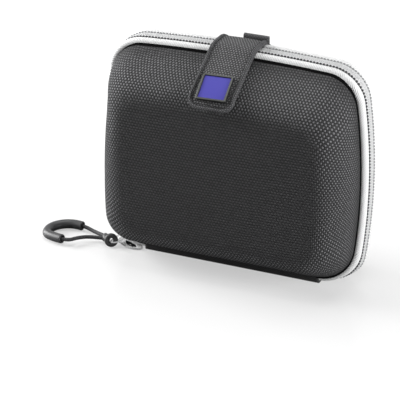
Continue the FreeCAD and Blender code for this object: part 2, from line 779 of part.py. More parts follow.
def pull_link():
    """A closed wire loop from the slider's bail to the cord ring."""
    near = bail_point()
    far = FreeCAD.Vector(ring_point().x, ring_point().y, near.z)
    length, half = (far - near).Length, num("link_half_width")
    ends = (half, length - half)
    line = [
        Part.LineSegment(FreeCAD.Vector(ends[0], half, 0), FreeCAD.Vector(ends[1], half, 0)),
        Part.Arc(FreeCAD.Vector(ends[1], half, 0), FreeCAD.Vector(length, 0, 0),
                 FreeCAD.Vector(ends[1], -half, 0)),
        Part.LineSegment(FreeCAD.Vector(ends[1], -half, 0), FreeCAD.Vector(ends[0], -half, 0)),
        Part.Arc(FreeCAD.Vector(ends[0], -half, 0), FreeCAD.Vector(), FreeCAD.Vector(ends[0], half, 0)),
    ]
    wire = Part.Wire([piece.toShape() for piece in line])
    link = doc.addObject("Part::Feature", "pull_link")
    link.Shape = tube_along(wire, num("link_wire_radius"))
    turn = math.degrees(math.atan2(far.y - near.y, far.x - near.x))
    link.Placement = FreeCAD.Placement(near, FreeCAD.Rotation(Z_AXIS, turn))
    finish(link, "pull_link")


def cord_ring():
    """The moulded end of the cord: a ring that hangs on the link, and a collar for the two strands."""
    near, middle = bail_point(), ring_point()
    across = FreeCAD.Vector(near.y - middle.y, middle.x - near.x, 0)
    ring = doc.addObject("Part::Torus", "cord_ring_eye")
    bind(ring, "Radius1", "cord_ring_radius")
    bind(ring, "Radius2", "cord_ring_wire")
    ring.Placement = FreeCAD.Placement(middle, FreeCAD.Rotation(Z_AXIS, across))
    collar = doc.addObject("Part::Cylinder", "cord_ring_collar")
    bind(collar, "Radius", "collar_radius")
    bind(collar, "Height", "collar_length")
    collar.Placement = FreeCAD.Placement(collar_face(), FreeCAD.Rotation(Z_AXIS, X_AXIS))
    fused = doc.addObject("Part::Fuse", "cord_ring")
    fused.Base = ring
    fused.Tool = collar
    doc.recompute()
    return finish(fused, "cord_ring")


def collar_face():
    """The middle of the collar's left face, where the cord's two strands go in."""
    reach = num("cord_ring_radius - cord_ring_wire / 2 + collar_length")
    middle = ring_point()
    return FreeCAD.Vector(middle.x - reach, middle.y, num("collar_radius"))


def tube_along(wire, radius):
    """A round tube along a wire, checked against its section times its length."""
    first = wire.OrderedEdges[0]
    start, way = first.valueAt(first.FirstParameter), first.tangentAt(first.FirstParameter)
    if first.Orientation == "Reversed":
        start, way = first.valueAt(first.LastParameter), first.tangentAt(first.LastParameter) * -1
    ring = Part.Wire([Part.Edge(Part.Circle(start, way, radius))])
    tube = wire.makePipeShell([ring], True, False)
    whole = math.pi * radius ** 2 * wire.Length
    assert abs(tube.Volume - whole) < 0.01 * whole, "a tube has the wrong volume"
    return tube


def cord_points():
    """The cord's route on the floor: out of the collar, through the grip and back."""
    face = collar_face()
    inside = face + X_AXIS * num("cord_tuck")
    spread = Y_AXIS * num("cord_radius + fit_gap")
    middle = [FreeCAD.Vector(face.x + x, face.y + y, z) for x, y, z in cord_places]
    return [inside + spread] + middle + [inside - spread]


def rounded_route(points):
    """Straight runs joined by arcs as large as their runs allow, in order along the route."""
    runs, cuts = [], [(points[0], points[0])]
    for before, corner, after in zip(points, points[1:], points[2:]):
        arrive, leave = corner - before, after - corner
        turn = arrive.getAngle(leave)
        reach = cord_bend_share * min(arrive.Length, leave.Length)
        print(f"cord turn {math.degrees(turn):.0f} deg, radius {reach / math.tan(turn / 2):.1f} mm")
        cuts.append((corner - FreeCAD.Vector(arrive).normalize() * reach,
                     corner + FreeCAD.Vector(leave).normalize() * reach))
    cuts.append((points[-1], points[-1]))
    for i in range(len(points) - 1):
        runs.append(Part.LineSegment(cuts[i][1], cuts[i + 1][0]))
        if i + 2 < len(points):
            corner, (start, end) = points[i + 1], cuts[i + 1]
            chord = (start + end) * 0.5
            half = (end - start).Length / 2
            side = (corner - start).Length
            rise = half * (side - half) / math.sqrt(side ** 2 - half ** 2)
            top = chord + FreeCAD.Vector(corner - chord).normalize() * rise
            runs.append(Part.Arc(start, top, end))
    return runs


def pull_cord(ring):
    runs = rounded_route(cord_points())
    wire = Part.Wire([run.toShape() for run in runs])
    print(f"cord length {wire.Length:.1f} mm")
    cord = doc.addObject("Part::Feature", "pull_cord")
    cord.Shape = tube_along(wire, num("cord_radius")).cut(ring.Shape)
    finish(cord, "pull_cord")
    # The grip covers the bend, from one straight stretch of the cord to another
    first, last = 4, len(runs) - 7
    head, tail = runs[first], runs[last]
    inside = [Part.LineSegment(at_share(head.StartPoint, head.EndPoint, grip_start_share), head.EndPoint)]
    inside += runs[first + 1:last]
    inside += [Part.LineSegment(tail.StartPoint, at_share(tail.StartPoint, tail.EndPoint, grip_end_share))]
    path = Part.Wire([run.toShape() for run in inside])
    grip = doc.addObject("Part::Feature", "grip_tube")
    grip.Shape = tube_along(path, num("grip_radius")).cut(tube_along(path, num("grip_bore_radius")))
    finish(grip, "grip_tube")


moulded_shell("back", -1, "back_depth")
moulded_shell("front", 1, "front_depth")
zip_half("back", -1)
zip_half("front", 1)
hinge_tape()
strap()
badge()
crest_loop()
belt_loop()
slider()
pull_link()
pull_cord(cord_ring())
doc.recompute()

for thing in doc.Objects:
    bad = {"Invalid", "Error"} & set(thing.State)
    assert not bad, f"{thing.Label}: {thing.State}"
os.makedirs("parts", exist_ok=True)
for piece in made:
    shape = piece.Shape
    assert not shape.isNull() and shape.isValid(), f"{piece.Label} is not a valid shape"
for piece in made:
    piece.Shape.exportStep(f"parts/{piece.Label}.step")
    print(f"{piece.Label}: {len(piece.Shape.Solids)} solid, {piece.Shape.Volume:.0f} mm3")
print(f"{len(made)} pieces")
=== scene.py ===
import math

import bmesh
import bpy
import numpy as np
from mathutils import Matrix, Vector, noise
from mathutils.bvhtree import BVHTree


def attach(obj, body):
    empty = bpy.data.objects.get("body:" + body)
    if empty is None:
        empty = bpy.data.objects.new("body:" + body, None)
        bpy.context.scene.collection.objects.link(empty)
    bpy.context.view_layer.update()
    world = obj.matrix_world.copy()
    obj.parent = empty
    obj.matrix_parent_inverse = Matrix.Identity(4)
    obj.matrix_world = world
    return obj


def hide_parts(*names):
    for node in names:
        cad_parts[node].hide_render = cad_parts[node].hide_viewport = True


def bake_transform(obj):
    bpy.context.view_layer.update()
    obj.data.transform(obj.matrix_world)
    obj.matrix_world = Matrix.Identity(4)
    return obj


# Zip-round binocular case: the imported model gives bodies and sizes, this script gives the looks.
# Lengths are metres, -Y is the front, the floor is z = 0.

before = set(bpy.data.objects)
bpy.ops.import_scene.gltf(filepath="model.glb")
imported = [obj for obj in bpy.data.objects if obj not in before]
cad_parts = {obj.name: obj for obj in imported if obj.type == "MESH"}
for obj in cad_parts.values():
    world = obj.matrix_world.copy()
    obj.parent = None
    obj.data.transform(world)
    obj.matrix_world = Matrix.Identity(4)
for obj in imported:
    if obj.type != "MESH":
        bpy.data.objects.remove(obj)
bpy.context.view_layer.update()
mm = 0.001
halves = (("front", 1, "lid"), ("back", -1, "back"))  # name, 1 if it looks to the front, body


# small helpers

def hexColour(text):
    # sRGB hex to linear RGBA
    channels = [int(text[i:i + 2], 16) / 255 for i in (1, 3, 5)]
    return [c / 12.92 if c <= 0.04045 else ((c + 0.055) / 1.055) ** 2.4 for c in channels] + [1.0]


def setInputs(tree, node, inputs):
    # a value or a link for each named input
    for key, value in inputs.items():
        if isinstance(value, bpy.types.NodeSocket):
            tree.links.new(value, node.inputs[key])
        else:
            node.inputs[key].default_value = value


def addNode(tree, kind, inputs=None, **settings):
    # one node, with settings on it and its inputs filled
    node = tree.nodes.new(kind)
    for key, value in settings.items():
        setattr(node, key, value)
    setInputs(tree, node, inputs or {})
    return node


def newMaterial(name):
    material = bpy.data.materials.new(name)
    material.use_nodes = True
    tree = material.node_tree
    tree.nodes.clear()
    shader = addNode(tree, "ShaderNodeBsdfPrincipled")
    addNode(tree, "ShaderNodeOutputMaterial", {"Surface": shader.outputs[0]})
    return material, tree, shader


def newObject(name, data, material=None):
    piece = bpy.data.objects.new(name, data)
    bpy.context.scene.collection.objects.link(piece)
    if material:
        data.materials.append(material)
    return piece


def dress(piece, body, slotName, *nodes):
    # the nodes that a piece stands for and the body it rides on; the material's slot is not used
    if nodes:
        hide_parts(*nodes)
    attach(piece, body)


def gridMesh(name, points, uv=None, wrapRows=False, wrapCols=False, caps=False, pole=None):
    # a quad grid; a wrapped direction repeats its first line in uv, not in points
    rows, cols = points.shape[:2]
    if uv is None:
        uv = np.zeros((rows + 1, cols + 1, 2))
    verts = [tuple(p) for p in points.reshape(-1, 3)]
    faces, corners = [], []
    for i in range(rows if wrapRows else rows - 1):
        for j in range(cols if wrapCols else cols - 1):
            i2, j2 = (i + 1) % rows, (j + 1) % cols
            faces.append((i * cols + j, i2 * cols + j, i2 * cols + j2, i * cols + j2))
            corners.append(((i, j), (i + 1, j), (i + 1, j + 1), (i, j + 1)))
    loops = [tuple(uv[i, j]) for quad in corners for i, j in quad]
    if caps:
        for i, order in ((0, 1), (rows - 1, -1)):
            ring = [(i * cols + j, (i, j)) for j in range(cols)][::order]
            faces.append(tuple(v for v, _ in ring))
            loops += [tuple(uv[place]) for _, place in ring]
    if pole is not None:
        verts.append(tuple(pole[0]))
        last = (rows - 1) * cols
        for j in range(cols):
            faces.append((last + j, len(verts) - 1, last + (j + 1) % cols))
            loops += [tuple(uv[rows - 1, j]), tuple(pole[1]), tuple(uv[rows - 1, j + 1])]
    mesh = bpy.data.meshes.new(name)
    mesh.from_pydata(verts, [], faces)
    layer = mesh.uv_layers.new(name="weave")
    layer.data.foreach_set("uv", np.array(loops, np.float32).ravel())
    mesh.update()
    return mesh


def shadeSmooth(mesh):
    mesh.polygons.foreach_set("use_smooth", [True] * len(mesh.polygons))


def outwards(mesh):
    # closed mesh: all faces turned outwards, shaded smooth
    work = bmesh.new()
    work.from_mesh(mesh)
    bmesh.ops.recalc_face_normals(work, faces=work.faces)
    work.to_mesh(mesh)
    work.free()
    shadeSmooth(mesh)
    mesh.update()


def faceOut(mesh, axis, sign=1):
    # open sheet: turned over if its farthest face along an axis looks back, shaded smooth
    shadeSmooth(mesh)
    far = max(mesh.polygons, key=lambda face: face.center[axis] * sign)
    if far.normal[axis] * sign < 0:
        mesh.flip_normals()


def evaluatedMesh(piece):
    bpy.context.view_layer.update()
    graph = bpy.context.evaluated_depsgraph_get()
    return bpy.data.meshes.new_from_object(piece.evaluated_get(graph), depsgraph=graph)


def thicken(piece, thickness, offset=-1.0):
    # a sheet gets a wall, and the result becomes its own plain mesh
    wall = piece.modifiers.new("wall", "SOLIDIFY")
    wall.thickness = thickness
    wall.offset = offset
    wall.use_even_offset = True
    mesh = evaluatedMesh(piece)
    piece.modifiers.clear()
    piece.data = mesh
    return piece


def sharpen(piece, angle):
    # keep hard edges where faces meet more steeply than an angle in degrees
    mesh = piece.data
    shadeSmooth(mesh)
    work = bmesh.new()
    work.from_mesh(mesh)
    for edge in work.edges:
        edge.smooth = len(edge.link_faces) == 2 and edge.calc_face_angle() < math.radians(angle)
    work.to_mesh(mesh)
    work.free()


def spline(knots, values, at):
    # natural cubic spline through values (stations x anything), read at the given places
    count = len(knots)
    gaps = np.diff(knots)
    system, right = np.eye(count), np.zeros((count, values.shape[1]))
    for i in range(1, count - 1):
        system[i, i - 1:i + 2] = gaps[i - 1], 2 * (gaps[i - 1] + gaps[i]), gaps[i]
        right[i] = 6 * ((values[i + 1] - values[i]) / gaps[i] - (values[i] - values[i - 1]) / gaps[i - 1])
    bends = np.linalg.solve(system, right)
    out = []
    for t in at:
        i = min(max(int(np.searchsorted(knots, t)) - 1, 0), count - 2)
        a, b, g = knots[i + 1] - t, t - knots[i], gaps[i]
        out.append((bends[i] * a ** 3 + bends[i + 1] * b ** 3) / (6 * g)
                   + (values[i] / g - bends[i] * g / 6) * a + (values[i + 1] / g - bends[i + 1] * g / 6) * b)
    return np.array(out)


def smoothStep(x, low, high):
    t = np.clip((x - low) / (high - low), 0, 1)
    return t * t * (3 - 2 * t)


def lengthsAlong(line):
    # distance of each point from the first, along the line
    return np.r_[0, np.cumsum(np.linalg.norm(np.diff(line, axis=0), axis=1))]


def unitRows(vectors):
    return vectors / np.linalg.norm(vectors, axis=1)[:, None]


def roundTurns(count):
    # even angles round a circle
    return np.linspace(0, 2 * math.pi, count, endpoint=False)


def cornerCurve(before, corner, after, reach, steps):
    # a quadratic curve across a corner, from one reach before it to one after
    start = corner + (before - corner) / np.linalg.norm(before - corner) * reach
    end = corner + (after - corner) / np.linalg.norm(after - corner) * reach
    return [start * (1 - t) ** 2 + corner * 2 * t * (1 - t) + end * t * t for t in np.linspace(0, 1, steps)]


# camera at the photograph's place, turned instead of shifted

cameraView = {
    "azimuth": 23.185, "elevation": 24.561, "distance": 1.16235, "aim": (0, 0, 0.063), "clipEnd": 20,
    "focalPixels": 2232.99, "aimPixel": (239.52, 152.57), "imagePixels": 400, "sensorMm": 36.0,
}


def makeCamera(view):
    a, e = math.radians(view["azimuth"]), math.radians(view["elevation"])
    back = Vector((math.sin(a) * math.cos(e), -math.cos(a) * math.cos(e), math.sin(e)))
    right = Vector((math.cos(a), math.sin(a), 0))
    up = back.cross(right)
    half, focal = view["imagePixels"] / 2, view["focalPixels"]
    aimX, aimY = view["aimPixel"]
    ahead = -back + right * (half - aimX) / focal + up * (aimY - half) / focal
    turn = (-back).rotation_difference(ahead).to_matrix()
    axes = turn @ Matrix((right, up, back)).transposed()
    data = bpy.data.cameras.new("photoCamera")
    data.sensor_width = view["sensorMm"]
    data.lens = focal / view["imagePixels"] * view["sensorMm"]
    data.clip_end = view["clipEnd"]
    camera = newObject("photoCamera", data)
    camera.matrix_world = Matrix.Translation(Vector(view["aim"]) + back * view["distance"]) @ axes.to_4x4()
    bpy.context.scene.camera = camera


makeCamera(cameraView)
print("camera placed")


# materials

weaveLook = {"wanderMm": 4.762, "wander": 0.7 * mm, "patchMm": 3.03, "wear": 0.12, "depth": 0.3 * mm,
             "crownRoughness": 0.42, "groundRoughness": 0.9, "specular": 0.25}
tapeLook = {"fuzzMm": 1.111, "fuzz": 0.5, "bump": 0.6}
mouldLook = {"broadShare": 0.12, "bump": 0.15, "depth": 0.1 * mm}


def wovenNylon(name, dark, light, paintedSheenColour, threadsMm):
    # heavy plain-woven nylon: staggered pale thread crowns on a dark ground, the crowns painted paler as a
    # painted sheen where the shell's point attribute marks its lit shoulders, the threads spaced as they show
    # in the photograph
    look = weaveLook
    material, tree, shader = newMaterial(name)
    place = addNode(tree, "ShaderNodeUVMap", uv_map="weave")
    wander = addNode(tree, "ShaderNodeTexNoise", {"Vector": place.outputs[0],
                                                  "Scale": 1 / (look["wanderMm"] * mm), "Detail": 1.0})
    shift = addNode(tree, "ShaderNodeVectorMath", {0: wander.outputs["Color"], 1: (0.5, 0.5, 0.5)},
                    operation="SUBTRACT")
    bent = addNode(tree, "ShaderNodeVectorMath",
                   {0: shift.outputs[0], 1: (look["wander"], look["wander"], 0.0), 2: place.outputs[0]},
                   operation="MULTIPLY_ADD")
    scaled = addNode(tree, "ShaderNodeVectorMath",
                     {0: bent.outputs[0], 1: [math.pi / (t * mm) for t in threadsMm] + [0.0]},
                     operation="MULTIPLY")
    split = addNode(tree, "ShaderNodeSeparateXYZ", {0: scaled.outputs[0]})
    waveU = addNode(tree, "ShaderNodeMath", {0: split.outputs[0]}, operation="SINE")
    waveV = addNode(tree, "ShaderNodeMath", {0: split.outputs[1]}, operation="SINE")
    both = addNode(tree, "ShaderNodeMath", {0: waveU.outputs[0], 1: waveV.outputs[0]}, operation="MULTIPLY")
    over = addNode(tree, "ShaderNodeMapRange", {0: both.outputs[0], 1: -0.1, 2: 0.75, 3: 0.0, 4: 1.0})
    crown = addNode(tree, "ShaderNodeMath", {0: both.outputs[0]}, operation="ABSOLUTE")
    height = addNode(tree, "ShaderNodeMath", {0: crown.outputs[0], 1: 0.6}, operation="POWER")
    lift = addNode(tree, "ShaderNodeMath", {0: over.outputs[0], 1: 0.8, 2: height.outputs[0]},
                   operation="MULTIPLY_ADD")
    patches = addNode(tree, "ShaderNodeTexNoise", {"Vector": place.outputs[0],
                                                   "Scale": 1 / (look["patchMm"] * mm), "Detail": 3.0})
    uneven = addNode(tree, "ShaderNodeMapRange", {0: patches.outputs["Fac"], 1: 0.3, 2: 0.7,
                                                  3: 1.0 - look["wear"], 4: 1.0 + look["wear"]})
    # painted sheen: the crowns turn paler where the shell's point attribute says so
    paintedSheen = addNode(tree, "ShaderNodeAttribute", attribute_name="paintedSheen")
    sheenedCrown = addNode(tree, "ShaderNodeMix", {"Factor": paintedSheen.outputs["Fac"], "A": hexColour(light),
                                           "B": hexColour(paintedSheenColour)}, data_type="RGBA")
    mixed = addNode(tree, "ShaderNodeMix", {"Factor": over.outputs[0], "A": hexColour(dark),
                                            "B": sheenedCrown.outputs[2]}, data_type="RGBA")
    # the gaps between weft rows are darkened in colour: painted shade in the recesses
    weft = addNode(tree, "ShaderNodeMath", {0: waveV.outputs[0]}, operation="ABSOLUTE")
    shade = addNode(tree, "ShaderNodeMapRange", {0: weft.outputs[0], 1: 0.0, 2: 0.75, 3: 0.35, 4: 1.0})
    level = addNode(tree, "ShaderNodeMath", {0: shade.outputs[0], 1: uneven.outputs[0]},
                    operation="MULTIPLY")
    colour = addNode(tree, "ShaderNodeVectorMath", {0: mixed.outputs[2], "Scale": level.outputs[0]},
                     operation="SCALE")
    bump = addNode(tree, "ShaderNodeBump", {"Height": lift.outputs[0], "Strength": 1.0,
                                            "Distance": look["depth"]})
    gloss = addNode(tree, "ShaderNodeMapRange", {0: over.outputs[0], 1: 0.0, 2: 1.0,
                                                 3: look["groundRoughness"], 4: look["crownRoughness"]})
    setInputs(tree, shader, {"Base Color": colour.outputs[0], "Normal": bump.outputs[0],
                             "Roughness": gloss.outputs[0], "Specular IOR Level": look["specular"]})
    return material


def ribbedTape(name, dark, light, ribMm, threadMm, roughness=0.75, slant=0.0, depth=0.2,
               gloss=0.3, sheen=0.2):
    # close-woven tape: fine ribs across it, broken by the warp threads, or slanting ribs in a twill
    material, tree, shader = newMaterial(name)
    place = addNode(tree, "ShaderNodeUVMap", uv_map="weave")
    split = addNode(tree, "ShaderNodeSeparateXYZ", {0: place.outputs[0]})
    leaning = addNode(tree, "ShaderNodeMath", {0: split.outputs[1], 1: slant, 2: split.outputs[0]},
                      operation="MULTIPLY_ADD")
    alongTurn = addNode(tree, "ShaderNodeMath", {0: leaning.outputs[0], 1: math.pi / (ribMm * mm)},
                        operation="MULTIPLY")
    raised = addNode(tree, "ShaderNodeMath", {0: alongTurn.outputs[0]}, operation="SINE")
    if not slant:
        acrossTurn = addNode(tree, "ShaderNodeMath", {0: split.outputs[1], 1: math.pi / (threadMm * mm)},
                             operation="MULTIPLY")
        warp = addNode(tree, "ShaderNodeMath", {0: acrossTurn.outputs[0]}, operation="SINE")
        raised = addNode(tree, "ShaderNodeMath", {0: raised.outputs[0], 1: warp.outputs[0]},
                         operation="MULTIPLY")
    height = addNode(tree, "ShaderNodeMapRange", {0: raised.outputs[0], 1: -1.0, 2: 1.0, 3: 0.0, 4: 1.0})
    fuzz = addNode(tree, "ShaderNodeTexNoise", {"Vector": place.outputs[0],
                                                "Scale": 1 / (tapeLook["fuzzMm"] * mm), "Detail": 3.0})
    grain = addNode(tree, "ShaderNodeMath",
                    {0: fuzz.outputs["Fac"], 1: tapeLook["fuzz"], 2: height.outputs[0]},
                    operation="MULTIPLY_ADD")
    ramp = addNode(tree, "ShaderNodeMapRange", {0: grain.outputs[0], 1: 0.1, 2: 1.2, 3: 0.0, 4: 1.0})
    mixed = addNode(tree, "ShaderNodeMix", {"Factor": ramp.outputs[0], "A": hexColour(dark),
                                            "B": hexColour(light)}, data_type="RGBA")
    bump = addNode(tree, "ShaderNodeBump", {"Height": grain.outputs[0], "Strength": tapeLook["bump"],
                                            "Distance": depth * mm})
    setInputs(tree, shader, {"Base Color": mixed.outputs[2], "Normal": bump.outputs[0],
                             "Roughness": roughness, "Specular IOR Level": gloss, "Sheen Weight": sheen})
    return material


def mouldedSurface(name, base, varied, grainMm, roughness, spread, metallic=0.0, coat=0.0, specular=0.5):
    # plain moulded, cast or painted surface: fine grain in the bump, a little unevenness in gloss and tone
    material, tree, shader = newMaterial(name)
    place = addNode(tree, "ShaderNodeTexCoord")
    grain = addNode(tree, "ShaderNodeTexNoise",
                    {"Vector": place.outputs["Object"], "Scale": 1 / (grainMm * mm), "Detail": 4.0})
    broad = addNode(tree, "ShaderNodeTexNoise",
                    {"Vector": place.outputs["Object"], "Scale": mouldLook["broadShare"] / (grainMm * mm),
                     "Detail": 2.0})
    mixed = addNode(tree, "ShaderNodeMix", {"Factor": broad.outputs["Fac"], "A": hexColour(base),
                                            "B": hexColour(varied)}, data_type="RGBA")
    gloss = addNode(tree, "ShaderNodeMapRange",
                    {0: grain.outputs["Fac"], 1: 0.25, 2: 0.75, 3: roughness - spread, 4: roughness + spread})
    bump = addNode(tree, "ShaderNodeBump", {"Height": grain.outputs["Fac"], "Strength": mouldLook["bump"],
                                            "Distance": mouldLook["depth"]})
    setInputs(tree, shader, {"Base Color": mixed.outputs[2], "Roughness": gloss.outputs[0],
                             "Normal": bump.outputs[0], "Metallic": metallic, "Coat Weight": coat,
                             "Specular IOR Level": specular})
    return material


# heavy cloth: rows of soft dots, each crown catching the light
# the shell's third colour is its painted sheen, for the lit shoulders
shellNylon = wovenNylon("ballisticNylon", "#3a3a3b", "#444445", "#7a7a7c", (0.88, 1.5))
strapNylon = wovenNylon("strapNylon", "#484849", "#7e7e80", "#7e7e80", (0.78, 1.25))
edgeWeave = wovenNylon("edgeBinding", "#4e4e50", "#7a7a7c", "#7a7a7c", (0.62, 0.8))
# tapes and linings: matt, with ribs drawn coarse enough to show
pipingWeave = ribbedTape("pipingTwill", "#dddede", "#f3f3f3", 0.7, 0.65, slant=0.9, depth=0.32)
zipWeave = ribbedTape("zipTapePolyester", "#a9aaab", "#dedede", 0.55, 0.6)
hingeWeave = ribbedTape("hingeGrosgrain", "#131314", "#323233", 0.9, 0.7)
bindingWeave = ribbedTape("seamGrosgrain", "#080808", "#121213", 0.8, 0.6, 0.9, gloss=0.1, sheen=0.0)
loopWeave = ribbedTape("foldedWebbing", "#262627", "#4f4f51", 0.9, 0.8)
liningKnit = ribbedTape("brushedLining", "#323236", "#58585e", 0.7, 0.7, 0.9)
pileTape = ribbedTape("loopPile", "#141415", "#343435", 0.5, 0.5, 0.95)
# bonded sewing thread: smooth and dull
darkThread = mouldedSurface("bondedThreadDark", "#2e2e30", "#3c3c3e", 0.3, 0.7, 0.1)
greyThread = mouldedSurface("bondedThreadGrey", "#838485", "#9a9b9c", 0.3, 0.7, 0.1)
paleThread = mouldedSurface("bondedThreadPale", "#babbbd", "#cfd0d1", 0.3, 0.7, 0.1)
blackThread = mouldedSurface("bondedThreadBlack", "#18181a", "#252527", 0.3, 0.65, 0.1)
# mouldings and castings: a soft highlight, broken by fine grain
coilNylon = mouldedSurface("nylonCoil", "#d0d1d2", "#e7e8e9", 0.5, 0.42, 0.06)
sliderEnamel = mouldedSurface("enamelledZinc", "#f2f2f3", "#f9f9fa", 1.2, 0.34, 0.06, coat=0.3)
cordMoulding = mouldedSurface("mouldedPolypropylene", "#212122", "#2f2f30", 0.7, 0.46, 0.08)
gripRubber = mouldedSurface("softPvcTube", "#28282a", "#363638", 1.0, 0.42, 0.07)
cordBraid = mouldedSurface("braidedPolyester", "#262627", "#48484a", 0.7, 0.75, 0.1)
frameMetal = mouldedSurface("darkNickelCasting", "#404140", "#535452", 0.6, 0.38, 0.08, metallic=0.9)
plateEnamel = mouldedSurface("blueEnamel", "#4b47a8", "#514dae", 2.5, 0.5, 0.05, specular=0.2)
print("materials made")


# cord first: a limp braided loop lying on the floor, out of its moulded collar and back

pullCord = {
    "diameter": 2.1 * mm, "length": 0.0828, "gripRadius": 2.55 * mm, "gripBore": 1.65 * mm,
    "gripFrom": 0.225, "gripTo": 0.70, "gripRound": 0.45 * mm, "gripRings": 60, "roundSteps": 5, "sides": 24,
    "route": [(-75.425, -7.05, 2.4), (-83.6, -3.4, 1.5), (-91.5, -1.0, 2.7), (-101.5, -0.9, 2.7),
              (-108.4, -8.0, 2.65), (-107.6, -16.6, 2.65), (-101.6, -19.2, 2.8), (-91.2, -22.0, 3.8),
              (-88.8, -15.8, 3.0), (-83.6, -10.9, 2.6), (-75.425, -9.35, 2.4)],
}


def cordCurve(name, points, bevel, material):
    data = bpy.data.curves.new(name, "CURVE")
    data.dimensions = "3D"
    data.resolution_u = 24
    data.bevel_depth = bevel
    data.bevel_resolution = 5
    data.use_fill_caps = True
    line = data.splines.new("NURBS")
    line.points.add(len(points) - 1)
    for spot, place in zip(line.points, points):
        spot.co = (place[0] * mm, place[1] * mm, place[2] * mm, 1)
    line.order_u = 3
    line.use_endpoint_u = True
    return newObject(name, data, material)


def curvePoints(piece):
    # the smooth line of a curve with no bevel, as points in order
    mesh = evaluatedMesh(piece)
    line = np.array([v.co for v in mesh.vertices])
    bpy.data.meshes.remove(mesh)
    return line


def tubeRows(line, profile, sides):
    # rings round a line; each row of the profile is a point's number, a step along and a radius
    ways = unitRows(np.gradient(line, axis=0))
    across = unitRows(np.cross(ways, (0, 0, 1)))
    ups = np.cross(across, ways)
    return np.array([[line[i] + ways[i] * step + radius * (across[i] * math.cos(t) + ups[i] * math.sin(t))
                      for t in roundTurns(sides)] for i, step, radius in profile])


def gripMesh(line, s):
    # a bored tube along the cord, its two ends rounded over
    lengths = lengthsAlong(line)
    places = np.linspace(s["gripFrom"], s["gripTo"], s["gripRings"]) * lengths[-1]
    line = np.array([np.interp(places, lengths, line[:, k]) for k in range(3)]).T
    outer, bore, edge = s["gripRadius"], s["gripBore"], s["gripRound"]
    last = len(line) - 1
    rounding = [(edge - edge * math.cos(t), outer - edge + edge * math.sin(t))
                for t in np.linspace(0, math.pi / 2, s["roundSteps"])]
    profile = [(0, 0.0, bore)]
    profile += [(0, step, radius) for step, radius in rounding]
    profile += [(i, 0.0, outer) for i in range(1, last)]
    profile += [(last, -step, radius) for step, radius in rounding[::-1]]
    profile += [(i, 0.0, bore) for i in range(last, 0, -1)]
    mesh = gridMesh("gripTube", tubeRows(line, profile, s["sides"]), wrapRows=True, wrapCols=True)
    outwards(mesh)
    return mesh


cordPiece = cordCurve("pullCord", pullCord["route"], 0, cordBraid)
gripPiece = newObject("gripTube", gripMesh(curvePoints(cordPiece), pullCord), gripRubber)
cordPiece.data.bevel_depth = pullCord["diameter"] / 2
dress(cordPiece, "pull", "cord_braid", "pull_cord")
dress(gripPiece, "pull", "grip_rubber", "grip_tube")
print("pull cord laid")


# the case's outline: straight base, bowed sides and top, round corners, drawn in by three insets

caseShape = {
    "halfWidth": 73.5 * mm, "top": 123 * mm, "base": 1.2 * mm, "sideBow": 309 * mm, "topBow": 848 * mm,
    "topCorner": 20 * mm, "leftCorner": 16 * mm, "rightFront": 24 * mm, "rightBack": 16 * mm,
    "cornerReach": 6 * mm, "steps": (64, 22, 60, 22, 72, 22, 60, 22),
    "hingeRight": 48.6 * mm, "hingeLeft": -51.6 * mm, "stubSteps": 5,
}


def lowerCorners(y):
    # right and left radius; the right one grows tighter from the front half to the back half
    s = caseShape
    share = np.clip(y / s["cornerReach"] + 1, 0, 1)
    return s["rightFront"] + (s["rightBack"] - s["rightFront"]) * share, s["leftCorner"]


def outline(side, top, bottom, upper, lowerRight, lowerLeft):
    # points and outward directions round the whole outline, the same count for any insets
    shape = caseShape
    middleZ = (shape["base"] + shape["top"]) / 2
    sideX, topZ = shape["halfWidth"] - shape["sideBow"], shape["top"] - shape["topBow"]
    sideR, topR, base = shape["sideBow"] - side, shape["topBow"] - top, shape["base"] + bottom
    lows = []
    for radius in (lowerRight, lowerLeft):
        z = base + radius
        x = sideX + math.sqrt((sideR - radius) ** 2 - (z - middleZ) ** 2)
        lows.append((x, z, math.atan2(z - middleZ, x - sideX)))
    (rightX, rightZ, rightTurn), (leftX, leftZ, leftTurn) = lows
    span = math.hypot(sideX, topZ - middleZ)
    along = ((sideR - upper) ** 2 - (topR - upper) ** 2 + span ** 2) / (2 * span)
    out = math.sqrt((sideR - upper) ** 2 - along ** 2)
    ux, uz = -sideX / span, (topZ - middleZ) / span
    highX, highZ = sideX + along * ux - out * uz, middleZ + along * uz + out * ux
    high = math.atan2(highZ - middleZ, highX - sideX)
    crest = math.atan2(highZ - topZ, highX)
    arcs = [(rightX, rightZ, lowerRight, -math.pi / 2, rightTurn), (sideX, middleZ, sideR, rightTurn, high),
            (highX, highZ, upper, high, crest), (0, topZ, topR, crest, math.pi - crest),
            (-highX, highZ, upper, math.pi - crest, math.pi - high),
            (-sideX, middleZ, sideR, math.pi - high, math.pi - leftTurn),
            (-leftX, leftZ, lowerLeft, math.pi - leftTurn, 1.5 * math.pi)]
    count = shape["steps"][0]
    points = [(-leftX + (leftX + rightX) * i / count, base) for i in range(count)]
    normals = [(0.0, -1.0)] * count
    for (x, z, r, start, end), count in zip(arcs, shape["steps"][1:]):
        for i in range(count):
            turn = start + (end - start) * i / count
            points.append((x + r * math.cos(turn), z + r * math.sin(turn)))
            normals.append((math.cos(turn), math.sin(turn)))
    return np.array(points), np.array(normals)


def zipLine(inset, y):
    # the open run round the case from the hinge's right end to its left end, drawn in by one inset
    s = caseShape
    right, left = lowerCorners(y)
    points, _ = outline(inset, inset, inset, s["topCorner"] - inset, right - inset, left - inset)
    first, count = s["steps"][0], s["stubSteps"]
    base = points[0][1]
    start = [(x, base) for x in np.linspace(s["hingeRight"], points[first][0], count, endpoint=False)]
    end = [(x, base) for x in np.linspace(points[0][0], s["hingeLeft"], count)]
    return np.vstack([start, points[first:], end])


runLength = lengthsAlong(zipLine(0, 0))


